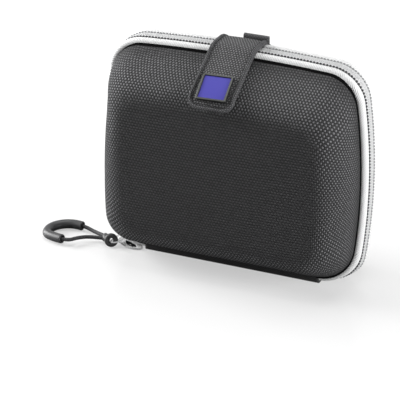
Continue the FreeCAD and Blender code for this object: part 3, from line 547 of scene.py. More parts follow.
def carriedRound(name, section, material):
    # a closed section of (inset, y) points carried along the zip line, with uv in metres
    lines = [zipLine(inset, y) for inset, y in section]
    points = np.array([[(line[i][0], y, line[i][1]) for line, (_, y) in zip(lines, section)]
                       for i in range(len(runLength))])
    around = lengthsAlong(section + section[:1])
    uv = np.array([[(along, a) for a in around] for along in runLength])
    mesh = gridMesh(name, points, uv, wrapCols=True, caps=True)
    outwards(mesh)
    return newObject(name, mesh, material)


# shells: the moulded fabric skin outside, foam and lining inside

shellShape = {
    "frontDepth": 33 * mm, "backDepth": 28 * mm,
    "skin": 0.8 * mm, "foamUnder": 0.9 * mm, "liningUnder": 5.6 * mm,
    "rimOffset": 8.65 * mm, "rimInset": 2.6 * mm,
    "rimSide": 3.2 * mm, "rimTop": 2.6 * mm, "rimBottom": 3.0 * mm,
    "faceSide": 20 * mm, "faceTop": 27 * mm, "faceBottom": 23 * mm, "faceCorner": 11 * mm, "crown": 0.9 * mm,
    "depthShares": (0.0, 0.385, 0.713, 0.918, 1.0), "sideShares": (0.0, 0.06, 0.265, 0.59, 1.0),
    "topShares": (0.0, 0.235, 0.46, 0.69, 1.0), "bottomShares": (0.0, 0.25, 0.475, 0.70, 1.0),
    "cornerShares": (0.0, 0.05, 0.22, 0.55, 1.0), "insetLean": (1.0, 0.92, 0.78, 0.62, 0.45),
    "depthLean": (0.0, 0.40, 0.66, 0.84, 1.0), "curl": 1.3 * mm, "curlWidth": 1.2 * mm,
    "leanHeights": (8, 18, 26, 48, 72, 84, 96, 108), "leanLeft": (0.0, -1.2, -1.7, 0.0, 1.2, 1.7, 1.6, 0.0),
    "leanShares": (0.0, 0.9, 1.0, 0.7, 0.2), "leanFrom": 20 * mm, "leanTo": 50 * mm,
    "rows": 56, "crowding": 1.35, "faceRings": 14, "swell": 0.10 * mm, "swellsPerMetre": 55.0,
    "paintedSheenAtRim": 0.1, "paintedSheenGrowShares": (0.02, 0.3), "paintedSheenFadeShares": (0.8, 1.0),
}


def shellStations(depth, layer, way, rounds):
    # outlines from the rim to the edge of the face, drawn in for a layer below the skin
    s = shellShape
    stations = []
    for k, depthShare in enumerate(s["depthShares"]):
        draw = layer * s["insetLean"][k]
        reach = s["rimOffset"] + (depth - s["rimOffset"]) * depthShare - layer * s["depthLean"][k]
        corners = [c - s["rimInset"] - s["cornerShares"][k] * (c - s["rimInset"] - s["faceCorner"]) - draw
                   for c in rounds]
        insets = []
        for edge in ("Side", "Top", "Bottom"):
            rim, face = s[f"rim{edge}"], s[f"face{edge}"]
            insets.append(draw + rim + (face - rim) * s[f"{edge.lower()}Shares"][k])
        flat, _ = outline(*insets, *corners)
        lean = np.interp(flat[:, 1] / mm, s["leanHeights"], s["leanLeft"]) * mm * s["leanShares"][k]
        flat[:, 0] += lean * smoothStep(-flat[:, 0], s["leanFrom"], s["leanTo"])
        stations.append(np.column_stack([flat[:, 0], np.full(len(flat), -way * reach), flat[:, 1]]))
    return np.array(stations)


def shellSurface(depth, layer, way):
    # rows of points from the rim to the middle of the face, with developed weave coordinates
    s = shellShape
    rounds = (caseShape["topCorner"], *lowerCorners(-way * s["rimOffset"]))
    stations = shellStations(depth, layer, way, rounds)
    count = stations.shape[1]
    knots = np.r_[0, np.cumsum(np.linalg.norm(np.diff(stations, axis=0), axis=2).mean(axis=1))]
    places = knots[-1] * np.linspace(0, 1, s["rows"]) ** s["crowding"]
    rows = spline(knots, stations.reshape(len(knots), -1), places).reshape(s["rows"], count, 3)
    _, square = outline(0, 0, 0, *rounds)
    tuck = s["curl"] * np.clip(1 - places / s["curlWidth"], 0, 1) ** 2
    rows[:, :, (0, 2)] -= tuck[:, None, None] * square[None]
    middle = rows[-1].mean(axis=0)
    rings = []
    for ring in range(1, s["faceRings"]):
        t = ring / s["faceRings"]
        spots = rows[-1] + (middle - rows[-1]) * t
        spots[:, 1] -= way * s["crown"] * (1 - (1 - t) ** 2)
        rings.append(spots)
    points = np.concatenate([rows, np.array(rings)])
    pole = middle - np.array((0, way * s["crown"], 0))
    # the weave lies square on the face and is laid off along the surface from there
    uv = np.zeros((len(points), count + 1, 2))
    edge = rows[-1]
    steps = np.linalg.norm(np.diff(rows, axis=0), axis=2)
    outward = rows[0] - edge
    outward[:, 1] = 0
    outward = unitRows(outward)
    for i in range(len(points)):
        far = steps[i:].sum(axis=0) if i < s["rows"] - 1 else np.zeros(count)
        base = edge if i < s["rows"] else points[i]
        laid = base + outward * far[:, None]
        uv[i, :count] = laid[:, (0, 2)]
        uv[i, count] = uv[i, 0]
    # painted sheen: the cloth painted paler over the lit shoulders between the rim and the edge of the face,
    # less of it towards the rim as painted shade
    share = places / places[-1]
    grown = s["paintedSheenAtRim"] + (1 - s["paintedSheenAtRim"]) * smoothStep(share, *s["paintedSheenGrowShares"])
    paintedSheen = np.zeros(len(points))
    paintedSheen[:s["rows"]] = (1 - smoothStep(share, *s["paintedSheenFadeShares"])) * grown
    return points, uv, (pole, (pole[0], pole[2])), paintedSheen


def swelled(mesh, s):
    # the slight unevenness of fabric moulded over foam
    normals = [v.normal.copy() for v in mesh.vertices]
    for vertex, normal in zip(mesh.vertices, normals):
        vertex.co += normal * s["swell"] * noise.noise(vertex.co * s["swellsPerMetre"])
    mesh.update()


def makeShell(half, way, body):
    s = shellShape
    depth = s[f"{half}Depth"]
    points, uv, pole, paintedSheen = shellSurface(depth, 0.0, way)
    mesh = gridMesh(f"{half}Shell", points, uv, wrapCols=True, pole=pole)
    # the painted sheen goes on the mesh as a point attribute
    layer = mesh.attributes.new("paintedSheen", "FLOAT", "POINT")
    layer.data.foreach_set("value", np.r_[np.repeat(paintedSheen, points.shape[1]), 0.0])
    outwards(mesh)
    faceOut(mesh, 1, -way)
    swelled(mesh, s)
    shell = thicken(newObject(f"{half}Shell", mesh, shellNylon), s["skin"])
    dress(shell, body, "shell_fabric", f"{half}_fabric")
    # foam and lining as one padded wall with a turned rim
    outer, outerUv, _, _ = shellSurface(depth, s["foamUnder"], way)
    inner, innerUv, innerPole, _ = shellSurface(depth, s["liningUnder"], way)
    rows = np.concatenate([outer[:s["rows"]][::-1], inner])
    uv = np.concatenate([outerUv[:s["rows"]][::-1], innerUv])
    lining = gridMesh(f"{half}Lining", rows, uv, wrapCols=True, pole=innerPole)
    work = bmesh.new()
    work.from_mesh(lining)
    work.verts.ensure_lookup_table()
    work.faces.new(work.verts[:rows.shape[1]])
    work.to_mesh(lining)
    work.free()
    outwards(lining)
    piece = newObject(f"{half}Lining", lining, liningKnit)
    dress(piece, body, "lining", f"{half}_lining", f"{half}_foam")


for half, way, body in halves:
    makeShell(half, way, body)
print("shells and linings moulded")


# piping, zip tape, seam binding

seamShape = {
    "pipingRadius": 2.4 * mm, "pipingOffset": 5.95 * mm, "pipingInset": 2.35 * mm, "pipingSides": 28,
    "tapeNear": 0.12 * mm, "tapeFar": 3.5 * mm, "tapeInset": 0.4 * mm, "tapeThickness": 0.8 * mm,
    "tapeRoll": 0.35 * mm, "tapeSharp": 50,
    "tapeDips": [(0.0, 0.7), (0.05, 1.0), (0.0, 1.3), (0.0, 2.0), (0.02, 2.4), (0.16, 2.75), (0.22, 3.0)],
    "bindingInset": 5.1 * mm, "bindingThickness": 0.9 * mm, "bindingFrom": 1.0 * mm, "bindingTo": 8.62 * mm,
    "bindingRoll": 0.3 * mm, "shadowLipFrom": 8.0 * mm, "shadowLipInset": 1.9 * mm, "shadowLipPoints": range(2, 6),
    "shadowLipLower": 0.95 * mm, "shadowLipRight": (50 * mm, 69 * mm),
    "shadowLipLowerLeft": 1.7 * mm, "shadowLipLeft": (44 * mm, 66 * mm),
}


def pipingSection(way):
    s = seamShape
    return [(s["pipingInset"] - s["pipingRadius"] * math.cos(t),
             -way * (s["pipingOffset"] + s["pipingRadius"] * math.sin(t)))
            for t in roundTurns(s["pipingSides"])]


def tapeSection(way):
    # flat tape, a rolled edge at the middle and a dip where it is sewn down
    s = seamShape
    near, far, roll = s["tapeNear"], s["tapeFar"], s["tapeRoll"]
    top, low = s["tapeInset"], s["tapeInset"] + s["tapeThickness"]
    ring = [(top + roll * (1 - math.sin(t)), near + roll * (1 - math.cos(t)))
            for t in np.linspace(0, math.pi / 2, 5)]
    ring += [(top + dip * mm, near + y * mm) for dip, y in s["tapeDips"]]
    ring += [(ring[-1][0], far), (low, far), (low, near)]
    return [(inset, -way * y) for inset, y in ring]


def bindingSection(way):
    # a flat band of the black seam binding under the piping, with a lip standing up between piping and shell
    # as painted shadow in the groove
    s = seamShape
    top, low = s["bindingInset"], s["bindingInset"] + s["bindingThickness"]
    start, end, roll = s["bindingFrom"], s["bindingTo"], s["bindingRoll"]
    shadowLip, shadowLipTop = s["shadowLipFrom"], s["shadowLipInset"]
    ring = [(top, start + roll), (top, shadowLip), (shadowLipTop + roll, shadowLip), (shadowLipTop, shadowLip + roll), (shadowLipTop, end - roll),
            (shadowLipTop + roll, end), (low - roll, end), (low, end - roll), (low, (start + end) / 2),
            (low, start + roll), (low - roll, start), (top + roll, start)]
    return [(inset, -way * y) for inset, y in ring]


def lowerShadowLip(mesh, count):
    # the painted-shadow lip stands less high along the case's two sides
    s = seamShape
    for vertex in mesh.vertices:
        if vertex.index % count in s["shadowLipPoints"]:
            x = vertex.co.x
            vertex.co.x -= s["shadowLipLower"] * smoothStep(x, *s["shadowLipRight"])
            vertex.co.x += s["shadowLipLowerLeft"] * smoothStep(-x, *s["shadowLipLeft"])


for half, way, body in halves:
    dress(carriedRound(f"{half}Piping", pipingSection(way), pipingWeave), body, "piping", f"{half}_piping")
    tape = carriedRound(f"{half}ZipTape", tapeSection(way), zipWeave)
    dress(tape, body, "zip_tape", f"{half}_zip_tape", f"{half}_zip_end")
    sharpen(tape, seamShape["tapeSharp"])
    section = bindingSection(way)
    binding = carriedRound(f"{half}SeamBinding", section, bindingWeave)
    lowerShadowLip(binding.data, len(section))
    dress(binding, body, "seam_binding", f"{half}_seam_binding")
print("seam pieces swept")


# repeats along a line: stitches and zip coils

def repeatTree():
    # named inputs, capsules at even steps along the object's own curve
    tree = bpy.data.node_groups.new("evenStitches", "GeometryNodeTree")
    face = tree.interface
    for label, kind in (("Geometry", "Geometry"), ("Pitch", "Float"), ("Length", "Float"),
                        ("Thickness", "Float"), ("Across", "Bool"), ("Finish", "Material")):
        face.new_socket(label, in_out="INPUT", socket_type=f"NodeSocket{kind}")
    face.new_socket("Geometry", in_out="OUTPUT", socket_type="NodeSocketGeometry")
    start = addNode(tree, "NodeGroupInput")
    spots = addNode(tree, "GeometryNodeCurveToPoints",
                    {"Curve": start.outputs["Geometry"], "Length": start.outputs["Pitch"]}, mode="LENGTH")
    ball = addNode(tree, "GeometryNodeMeshUVSphere", {"Segments": 8, "Rings": 6, "Radius": 0.5})
    along = addNode(tree, "FunctionNodeAlignRotationToVector", {"Vector": spots.outputs["Tangent"]}, axis="X")
    side = addNode(tree, "FunctionNodeAlignRotationToVector", {"Vector": (0.0, 1.0, 0.0)}, axis="X")
    turn = addNode(tree, "GeometryNodeSwitch", {"Switch": start.outputs["Across"], "False": along.outputs[0],
                                                "True": side.outputs[0]}, input_type="ROTATION")
    size = addNode(tree, "ShaderNodeCombineXYZ", {0: start.outputs["Length"], 1: start.outputs["Thickness"],
                                                  2: start.outputs["Thickness"]})
    copies = addNode(tree, "GeometryNodeInstanceOnPoints",
                     {"Points": spots.outputs["Points"], "Instance": ball.outputs["Mesh"],
                      "Rotation": turn.outputs[0], "Scale": size.outputs[0]})
    real = addNode(tree, "GeometryNodeRealizeInstances", {"Geometry": copies.outputs[0]})
    smooth = addNode(tree, "GeometryNodeSetShadeSmooth", {"Geometry": real.outputs[0]})
    coat = addNode(tree, "GeometryNodeSetMaterial",
                   {"Geometry": smooth.outputs[0], "Material": start.outputs["Finish"]})
    addNode(tree, "NodeGroupOutput", {0: coat.outputs[0]})
    return tree


stitchTree = repeatTree()


def repeated(name, lines, finish, s, across=False):
    # one plain mesh of capsules along lines, with the pitch, length and thickness in s
    data = bpy.data.curves.new(name, "CURVE")
    data.dimensions = "3D"
    for points in lines:
        line = data.splines.new("POLY")
        line.points.add(len(points) - 1)
        line.points.foreach_set("co", np.column_stack([points, np.ones(len(points))]).ravel())
    source = newObject(f"{name}Line", data)
    modifier = source.modifiers.new("stitches", "NODES")
    modifier.node_group = stitchTree
    values = {"Pitch": s["pitch"], "Length": s["length"], "Thickness": s["thickness"],
              "Across": across, "Finish": finish}
    for socket in stitchTree.interface.items_tree:
        if socket.in_out == "INPUT" and socket.name in values:
            modifier[socket.identifier] = values[socket.name]
    mesh = evaluatedMesh(source)
    mesh.name = name
    bpy.data.objects.remove(source)
    return newObject(name, mesh)


stitchRows = {
    "seam": {"inset": 0.5 * mm, "offset": 3.2 * mm, "pitch": 1.75 * mm, "length": 1.5 * mm,
             "thickness": 1.3 * mm},
    "sewing": {"inset": 0.4 * mm, "offset": 1.05 * mm, "pitch": 1.35 * mm, "length": 0.95 * mm,
               "thickness": 0.4 * mm},
    "coil": {"inset": 1.9 * mm, "offset": 0.88 * mm, "pitch": 1.5 * mm, "length": 1.45 * mm,
             "thickness": 1.15 * mm},
    "thread": {"radius": 0.26 * mm, "under": 0.2 * mm, "sides": 8},
}
seamThreads = {"front": (darkThread, greyThread), "back": (greyThread, paleThread)}  # stitches, line below


def rowRound(name, way, s, finish, across=False):
    y = -way * s["offset"]
    line = np.array([(x, y, z) for x, z in zipLine(s["inset"], y)])
    return repeated(name, [line], finish, s, across)


for half, way, body in halves:
    seam, thread = stitchRows["seam"], stitchRows["thread"]
    stitchFinish, lineFinish = seamThreads[half]
    dress(rowRound(f"{half}SeamStitches", way, seam, stitchFinish), body, "thread")
    section = [(seam["inset"] + thread["under"] + thread["radius"] * math.sin(a),
                -way * seam["offset"] + thread["radius"] * math.cos(a)) for a in roundTurns(thread["sides"])]
    dress(carriedRound(f"{half}SeamThread", section, lineFinish), body, "thread")
    dress(rowRound(f"{half}CoilSewing", way, stitchRows["sewing"], paleThread), body, "thread")
    coil = rowRound(f"{half}ZipCoil", way, stitchRows["coil"], coilNylon, across=True)
    dress(coil, body, "zip_coil", f"{half}_zip_coil")
print("stitches and coils repeated")


# hinge band under the case: a trough of close-woven band, folded at its two edges

hingeShape = {
    "right": 48.45 * mm, "left": -51.45 * mm, "halfWidth": 8.5 * mm, "height": 5.4 * mm,
    "thickness": 1.2 * mm, "bend": 1.2 * mm, "columns": 60,
    "ripple": 0.12 * mm, "ripplesAlong": 90, "ripplesAcross": 160,
}


def makeHinge(s):
    bend, wide = s["bend"], s["halfWidth"]
    half = [(y, 0.0) for y in np.linspace(0, wide - bend, 12)]
    half += [(wide - bend + bend * math.sin(t), bend - bend * math.cos(t))
             for t in np.linspace(0, math.pi / 2, 6)[1:]]
    half += [(wide, z) for z in np.linspace(bend, s["height"], 8)[1:]]
    section = [(-y, z) for y, z in half[::-1]] + half[1:]
    xs = np.linspace(s["left"], s["right"], s["columns"])
    across = lengthsAlong(section)
    points = np.array([[(x, y, z) for y, z in section] for x in xs])
    uv = np.array([[(x, a) for a in across] for x in xs])
    mesh = gridMesh("hingeBand", points, uv)
    faceOut(mesh, 2, -1)
    for vertex in mesh.vertices:
        if vertex.co.z > bend:
            spot = Vector((vertex.co.x * s["ripplesAlong"], vertex.co.y * s["ripplesAcross"], 0))
            vertex.co.y -= math.copysign(abs(noise.noise(spot) * s["ripple"]), vertex.co.y)
    band = thicken(newObject("hingeBand", mesh, hingeWeave), s["thickness"])
    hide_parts("hinge_tape")
    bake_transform(band)


makeHinge(hingeShape)
print("hinge band folded")


# strap over the top, with turned edges sewn down

strapShape = {
    "line": [(25.0, 111.2), (6.6, 125.4), (-7.0, 125.4), (-33.0, 107.3), (-37.4, 101.4)],
    "halfWidth": 12.5 * mm, "thickness": 1.4 * mm, "tipRadius": 6.0 * mm, "bendShare": 0.3, "arch": 0.35 * mm,
    "skew": -1.3 * mm, "skewFrom": -2 * mm, "skewLength": 35 * mm,
    "across": 33, "step": 0.6 * mm, "edgeStep": 0.8 * mm, "tipGap": 0.02 * mm, "underBinding": 0.3 * mm,
    "bindingFrom": 9 * mm,
    "bindingSection": [(1.9, -0.05), (1.85, 0.34), (1.6, 0.62), (0.9, 0.74), (0.4, 0.56), (0.1, 0.14),
                       (0.0, -0.4), (0.0, -1.0), (0.15, -1.4), (0.45, -1.6), (0.9, -1.66), (1.6, -1.62),
                       (1.8, -1.3)],
    "stitchIn": 2.15 * mm, "stitchLift": 0.16 * mm,
    "stitch": {"pitch": 1.7 * mm, "length": 1.15 * mm, "thickness": 0.7 * mm},
}


def bentLine(points, share, steps=9):
    # straight stretches with each corner rounded by a quadratic curve
    points = [np.array(p) * mm for p in points]
    out = [points[0]]
    for before, corner, after in zip(points, points[1:], points[2:]):
        reach = share * min(np.linalg.norm(corner - before), np.linalg.norm(after - corner))
        out += cornerCurve(before, corner, after, reach, steps)
    return np.array(out + [points[-1]])


def evenLine(line, step):
    lengths = lengthsAlong(line)
    places = np.linspace(0, lengths[-1], int(lengths[-1] / step) + 1)
    return np.array([np.interp(places, lengths, line[:, k]) for k in range(line.shape[1])]).T, places


def strapCourse(s):
    # the strap's side line, its outward directions and the places along it
    line, places = evenLine(bentLine(s["line"], s["bendShare"]), s["step"])
    ways = unitRows(np.gradient(line, axis=0))
    return line, np.column_stack([ways[:, 1], -ways[:, 0]]), places


def skewAt(s, y):
    # the strap lies a little askew, more so towards its tip
    return s["skew"] * np.clip((s["skewFrom"] - y) / s["skewLength"], 0, 1)


def strapSpot(s, course, spot, lift):
    # a place on the strap from its distance across and along, a little lower towards the edges
    line, squares, places = course
    x, along = spot
    sag = s["arch"] * (x / s["halfWidth"]) ** 2
    y, z = (np.interp(along, places, line[:, k]) + np.interp(along, places, squares[:, k]) * (lift - sag)
            for k in (0, 1))
    return (x + skewAt(s, y), y, z)


def edgePath(s, total, start):
    # round the free edge from the left side over the tip to the right side: places and inward directions
    half, r = s["halfWidth"], s["tipRadius"]
    sides = np.linspace(start, total - r, int((total - r - start) / s["edgeStep"]))
    turns = np.linspace(0, math.pi / 2, 12)
    path = [((-half, p), (1, 0)) for p in sides[:-1]]
    path += [((r - half - r * math.cos(a), total - r + r * math.sin(a)), (math.cos(a), -math.sin(a)))
             for a in turns]
    path += [((x, total), (0, -1)) for x in np.linspace(r - half, half - r, 16)[1:-1]]
    path += [((half - r + r * math.cos(a), total - r + r * math.sin(a)), (-math.cos(a), -math.sin(a)))
             for a in turns[::-1]]
    path += [((half, p), (-1, 0)) for p in sides[:-1][::-1]]
    return [(np.array(base), np.array(inward)) for base, inward in path]


def halfWidthAt(s, fromTip):
    r = s["tipRadius"]
    if fromTip >= r:
        return s["halfWidth"]
    return s["halfWidth"] - r + math.sqrt(max(r * r - (r - fromTip) ** 2, 0))


def makeStrap(s):
    course = strapCourse(s)
    line, _, places = course
    total = places[-1]
    shares = np.sin(np.linspace(-math.pi / 2, math.pi / 2, s["across"]))
    widths = [halfWidthAt(s, max(total - place, s["tipGap"])) - s["underBinding"] for place in places]
    uv = np.array([[(half * share, place) for share in shares] for half, place in zip(widths, places)])
    points = np.array([[strapSpot(s, course, spot, 0.0) for spot in row] for row in uv])
    mesh = gridMesh("closingStrap", points, uv)
    faceOut(mesh, 2)
    strap = thicken(newObject("closingStrap", mesh, strapNylon), s["thickness"])
    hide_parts("strap_flap", "strap_root")
    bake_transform(strap)
    # binding folded round the free edge, and the stitches that hold it
    start = next(place for i, place in enumerate(places) if line[i][0] < s["bindingFrom"])
    path = edgePath(s, total, start)
    section = [(d * mm, h * mm) for d, h in s["bindingSection"]]
    points = np.array([[strapSpot(s, course, base + inward * d, h) for d, h in section]
                       for base, inward in path])
    around = lengthsAlong(section + section[:1])
    uv = np.array([[(along, a) for a in around] for along in lengthsAlong(points[:, 0])])
    mesh = gridMesh("edgeBinding", points, uv, wrapCols=True, caps=True)
    outwards(mesh)
    dress(newObject("edgeBinding", mesh, edgeWeave), "strap", "strap_binding", "strap_edge_band")
    seam = np.array([strapSpot(s, course, base + inward * s["stitchIn"], s["stitchLift"])
                     for base, inward in path])
    dress(repeated("strapStitches", [seam], blackThread, s["stitch"]), "strap", "thread")


makeStrap(strapShape)
print("strap laid over the top")


# hook and pile patches between strap and shell

hookPatch = {"width": 20 * mm, "length": 11 * mm, "height": 0.45 * mm, "corner": 2 * mm, "bevel": 0.1 * mm,
             "along": 23.2 * mm, "lift": -1.85 * mm}
pilePatch = {"halfWidth": 10.5 * mm, "front": -30.6 * mm, "back": -18.0 * mm, "sunk": 0.1 * mm,
             "height": 0.85 * mm, "across": 29, "along": 19, "lookFrom": 130 * mm, "sharp": 60}


def extruded(work, face, height):
    grown = bmesh.ops.extrude_face_region(work, geom=[face])
    moved = [v for v in grown["geom"] if isinstance(v, bmesh.types.BMVert)]
    bmesh.ops.translate(work, verts=moved, vec=(0, 0, height))


def roundedPlate(name, s, material):
    # a plate with round corners and softened upper edges, its foot at the origin
    corner, height = s["corner"], s["height"]
    ring = []
    for cx, cy, start in ((1, 1, 0), (-1, 1, 90), (-1, -1, 180), (1, -1, 270)):
        for t in np.radians(np.linspace(start, start + 90, 7)):
            ring.append((cx * (s["width"] / 2 - corner) + corner * math.cos(t),
                         cy * (s["length"] / 2 - corner) + corner * math.sin(t)))
    work = bmesh.new()
    foot = work.faces.new([work.verts.new((x, y, 0)) for x, y in ring])
    extruded(work, foot, height)
    bmesh.ops.recalc_face_normals(work, faces=work.faces)
    top = [e for e in work.edges if all(v.co.z > height / 2 for v in e.verts)]
    bmesh.ops.bevel(work, geom=top, offset=s["bevel"], segments=3, profile=0.6, affect="EDGES")
    mesh = bpy.data.meshes.new(name)
    work.to_mesh(mesh)
    work.free()
    layer = mesh.uv_layers.new(name="weave")
    for loop in mesh.loops:
        layer.data[loop.index].uv = mesh.vertices[loop.vertex_index].co.xy
    return newObject(name, mesh, material)


def slopePlace(s, along, lift):
    # a frame on the strap's front slope, a length down from the crest's front corner
    start, end = (np.array(p) * mm for p in s["line"][2:4])
    way = (end - start) / np.linalg.norm(end - start)
    square = np.array((way[1], -way[0]))
    spot = start + way * along + square * lift
    lean = math.atan2(way[1], -way[0])
    turn = s["skew"] / s["skewLength"]
    return (Matrix.Translation((skewAt(s, spot[0]), spot[0], spot[1])) @ Matrix.Rotation(-lean, 4, "X")
            @ Matrix.Rotation(-turn, 4, "Z"))


def makeHookPatch(s):
    patch = roundedPlate("hookPatch", s, pileTape)
    patch.data.transform(slopePlace(strapShape, s["along"], s["lift"]))
    dress(patch, "strap", "hook_tape", "hook_patch")


def makePilePatch(s):
    # laid on the shell: each spot found straight below, then lifted by the pile's height
    work = bmesh.new()
    work.from_mesh(bpy.data.objects["frontShell"].data)
    tree = BVHTree.FromBMesh(work)
    xs = np.linspace(-s["halfWidth"], s["halfWidth"], s["across"])
    ys = np.linspace(s["front"], s["back"], s["along"])
    points = []
    for y in ys:
        row = []
        for x in xs:
            spot, normal, _, _ = tree.ray_cast(Vector((x, y, s["lookFrom"])), Vector((0, 0, -1)))
            row.append(spot + normal * (s["height"] - s["sunk"]))
        points.append(row)
    work.free()
    uv = np.array([[(x, y) for x in xs] for y in ys])
    mesh = gridMesh("pilePatch", np.array(points), uv)
    faceOut(mesh, 2)
    patch = thicken(newObject("pilePatch", mesh, pileTape), s["height"])
    sharpen(patch, s["sharp"])
    dress(patch, "lid", "pile_tape", "loop_patch")


makeHookPatch(hookPatch)
makePilePatch(pilePatch)
print("patches placed")


# badge: cast frame with a plain enamelled face

badgeShape = {
    "width": 16.5 * mm, "length": 15.5 * mm, "start": 19.1 * mm, "height": 1.6 * mm, "rim": 0.95 * mm,
    "corner": 1.0 * mm, "bevel": 0.28 * mm, "sharp": 50, "slopeWidth": 0.22 * mm, "slopeDepth": 0.35 * mm,
    "faceLift": 1.1 * mm, "overlap": 0.1 * mm, "gap": 0.25 * mm, "seat": 0.5 * mm,
    "plateCorner": 0.4 * mm, "plateBevel": 0.12 * mm, "plateSharp": 40,
}


def makeBadge(s):
    place = slopePlace(strapShape, s["start"] + s["length"] / 2, 0.0)
    frameRing = roundedPlate("badgeFrame", s, frameMetal)
    work = bmesh.new()
    work.from_mesh(frameRing.data)
    work.faces.ensure_lookup_table()
    top = max(work.faces, key=lambda f: f.calc_center_median().z)
    bmesh.ops.inset_region(work, faces=[top], thickness=s["rim"] - s["bevel"], depth=0)
    bmesh.ops.inset_region(work, faces=[top], thickness=s["slopeWidth"], depth=-s["slopeDepth"])
    extruded(work, top, s["faceLift"] - s["height"] - s["overlap"])
    bmesh.ops.delete(work, geom=[top], context="FACES_ONLY")
    bmesh.ops.recalc_face_normals(work, faces=work.faces)
    work.to_mesh(frameRing.data)
    work.free()
    frameRing.data.transform(place)
    sharpen(frameRing, s["sharp"])
    dress(frameRing, "strap", "badge_metal", "badge_frame")
    inside = s["rim"] + s["gap"]
    plateShape = {"width": s["width"] - 2 * inside, "length": s["length"] - 2 * inside,
                  "height": s["faceLift"] - s["seat"], "corner": s["plateCorner"], "bevel": s["plateBevel"]}
    plate = roundedPlate("badgePlate", plateShape, plateEnamel)
    plate.data.transform(Matrix.Translation((0, 0, s["seat"])))
    plate.data.transform(place)
    sharpen(plate, s["plateSharp"])
    dress(plate, "strap", "badge_blue", "badge_plate")


makeBadge(badgeShape)
print("badge set in its frame")


# folded webbing: crest loop and belt loop

crestLoop = {"left": -0.8 * mm, "right": 12.6 * mm, "front": 6.9 * mm, "back": 9.7 * mm, "top": 126.8 * mm,
             "wall": 1.1 * mm, "foot": (123.9 * mm, 122.1 * mm), "columns": 18, "sharp": 60}
beltLoop = {
    "halfWidth": 17 * mm, "thickness": 1.6 * mm, "near": 28.1 * mm, "far": 34.1 * mm,
    "columns": 29, "sharp": 60,
    "heights": (28.0, 36.0, 44.0, 78.0, 86.0, 94.0), "bendShare": 0.4, "step": 1.0 * mm,
    "bartacks": {"upper": 88 * mm, "lower": 30 * mm}, "bartackHeight": 4 * mm, "bartackEdge": 2 * mm,
    "bartackLift": 0.1 * mm, "stitch": {"pitch": 1.5 * mm, "length": 1.3 * mm, "thickness": 0.5 * mm},
}


def webbing(name, line, xs, axis, thickness, offset=-1.0):
    # a strip of webbing from its side line (y, z), turned out along an axis and thickened to one side
    along = lengthsAlong(line)
    points = np.array([[(x, y, z) for x in xs] for y, z in line])
    uv = np.array([[(a, x) for x in xs] for a in along])
    mesh = gridMesh(name, points, uv)
    faceOut(mesh, axis)
    return thicken(newObject(name, mesh, loopWeave), thickness, offset)


def makeCrestLoop(s):
    radius = (s["back"] - s["front"]) / 2
    middle, height = (s["front"] + s["back"]) / 2, s["top"] - radius
    line = [(s["front"], z) for z in np.linspace(s["foot"][0], height, 6)]
    line += [(middle - radius * math.cos(t), height + radius * math.sin(t))
             for t in np.linspace(0, math.pi, 13)[1:]]
    line += [(s["back"], z) for z in np.linspace(height, s["foot"][1], 6)[1:]]
    strip = webbing("crestLoop", line, np.linspace(s["left"], s["right"], s["columns"]), 2, s["wall"])
    sharpen(strip, s["sharp"])
    dress(strip, "strap", "strap_webbing", "crest_loop")


def makeBeltLoop(s):
    ys = (s["near"], s["near"], s["far"], s["far"], s["near"], s["near"])
    line = [(y / mm, z) for y, z in zip(ys, s["heights"])]
    line, _ = evenLine(bentLine(line, s["bendShare"]), s["step"])
    xs = np.linspace(-s["halfWidth"], s["halfWidth"], s["columns"])
    strip = webbing("beltLoop", line, xs, 1, s["thickness"], offset=1.0)
    sharpen(strip, s["sharp"])
    dress(strip, "back", "strap_webbing", "belt_loop")
    # bartacks: a sewn box with its two diagonals
    half, skin = s["halfWidth"] - s["bartackEdge"], s["near"] + s["thickness"] + s["bartackLift"]
    for end, low in s["bartacks"].items():
        high = low + s["bartackHeight"]
        box = [(-half, low), (half, low), (half, high), (-half, high), (-half, low)]
        corners = [np.array((x, skin, z)) for x, z in box]
        pairs = [*zip(corners, corners[1:]), (corners[0], corners[2]), (corners[1], corners[3])]
        lines = [np.linspace(a, b, 30) for a, b in pairs]
        rows = repeated(f"{end}Bartack", lines, blackThread, s["stitch"])
        dress(rows, "back", "thread", f"{end}_bartack")


makeCrestLoop(crestLoop)
makeBeltLoop(beltLoop)
print("loops folded")


# zip's end: a flat pale tab of tape at the bottom left corner, a near-black sheet in its window where its two
# layers part, as painted shadow

zipEnd = {
    "outer": [(-69.0, -4.6), (-68.3, -8.6), (-61.2, -12.2), (-55.6, -11.4), (-52.4, -9.7), (-55.4, -4.4),
              (-67.6, -3.6)],
    "inner": [(-64.4, -5.6), (-63.6, -7.3), (-61.1, -9.9), (-58.8, -10.3), (-56.3, -9.6), (-57.4, -7.4),
              (-61.6, -6.0)],
    "outerRadius": 1.2 * mm, "innerRadius": 0.4 * mm, "thickness": 0.95 * mm, "edge": 0.45 * mm,
    "lowAt": -56.0 * mm, "lowHeight": 0.12 * mm, "slope": 0.1, "sharp": 35,
    "shadowSheetFoot": 0.1 * mm, "shadowSheetDrop": 0.3 * mm, "shadowSheetShare": 0.3,
}

# cord's end: a collar that takes both strands, a ring standing on the floor, the wire link to the slider

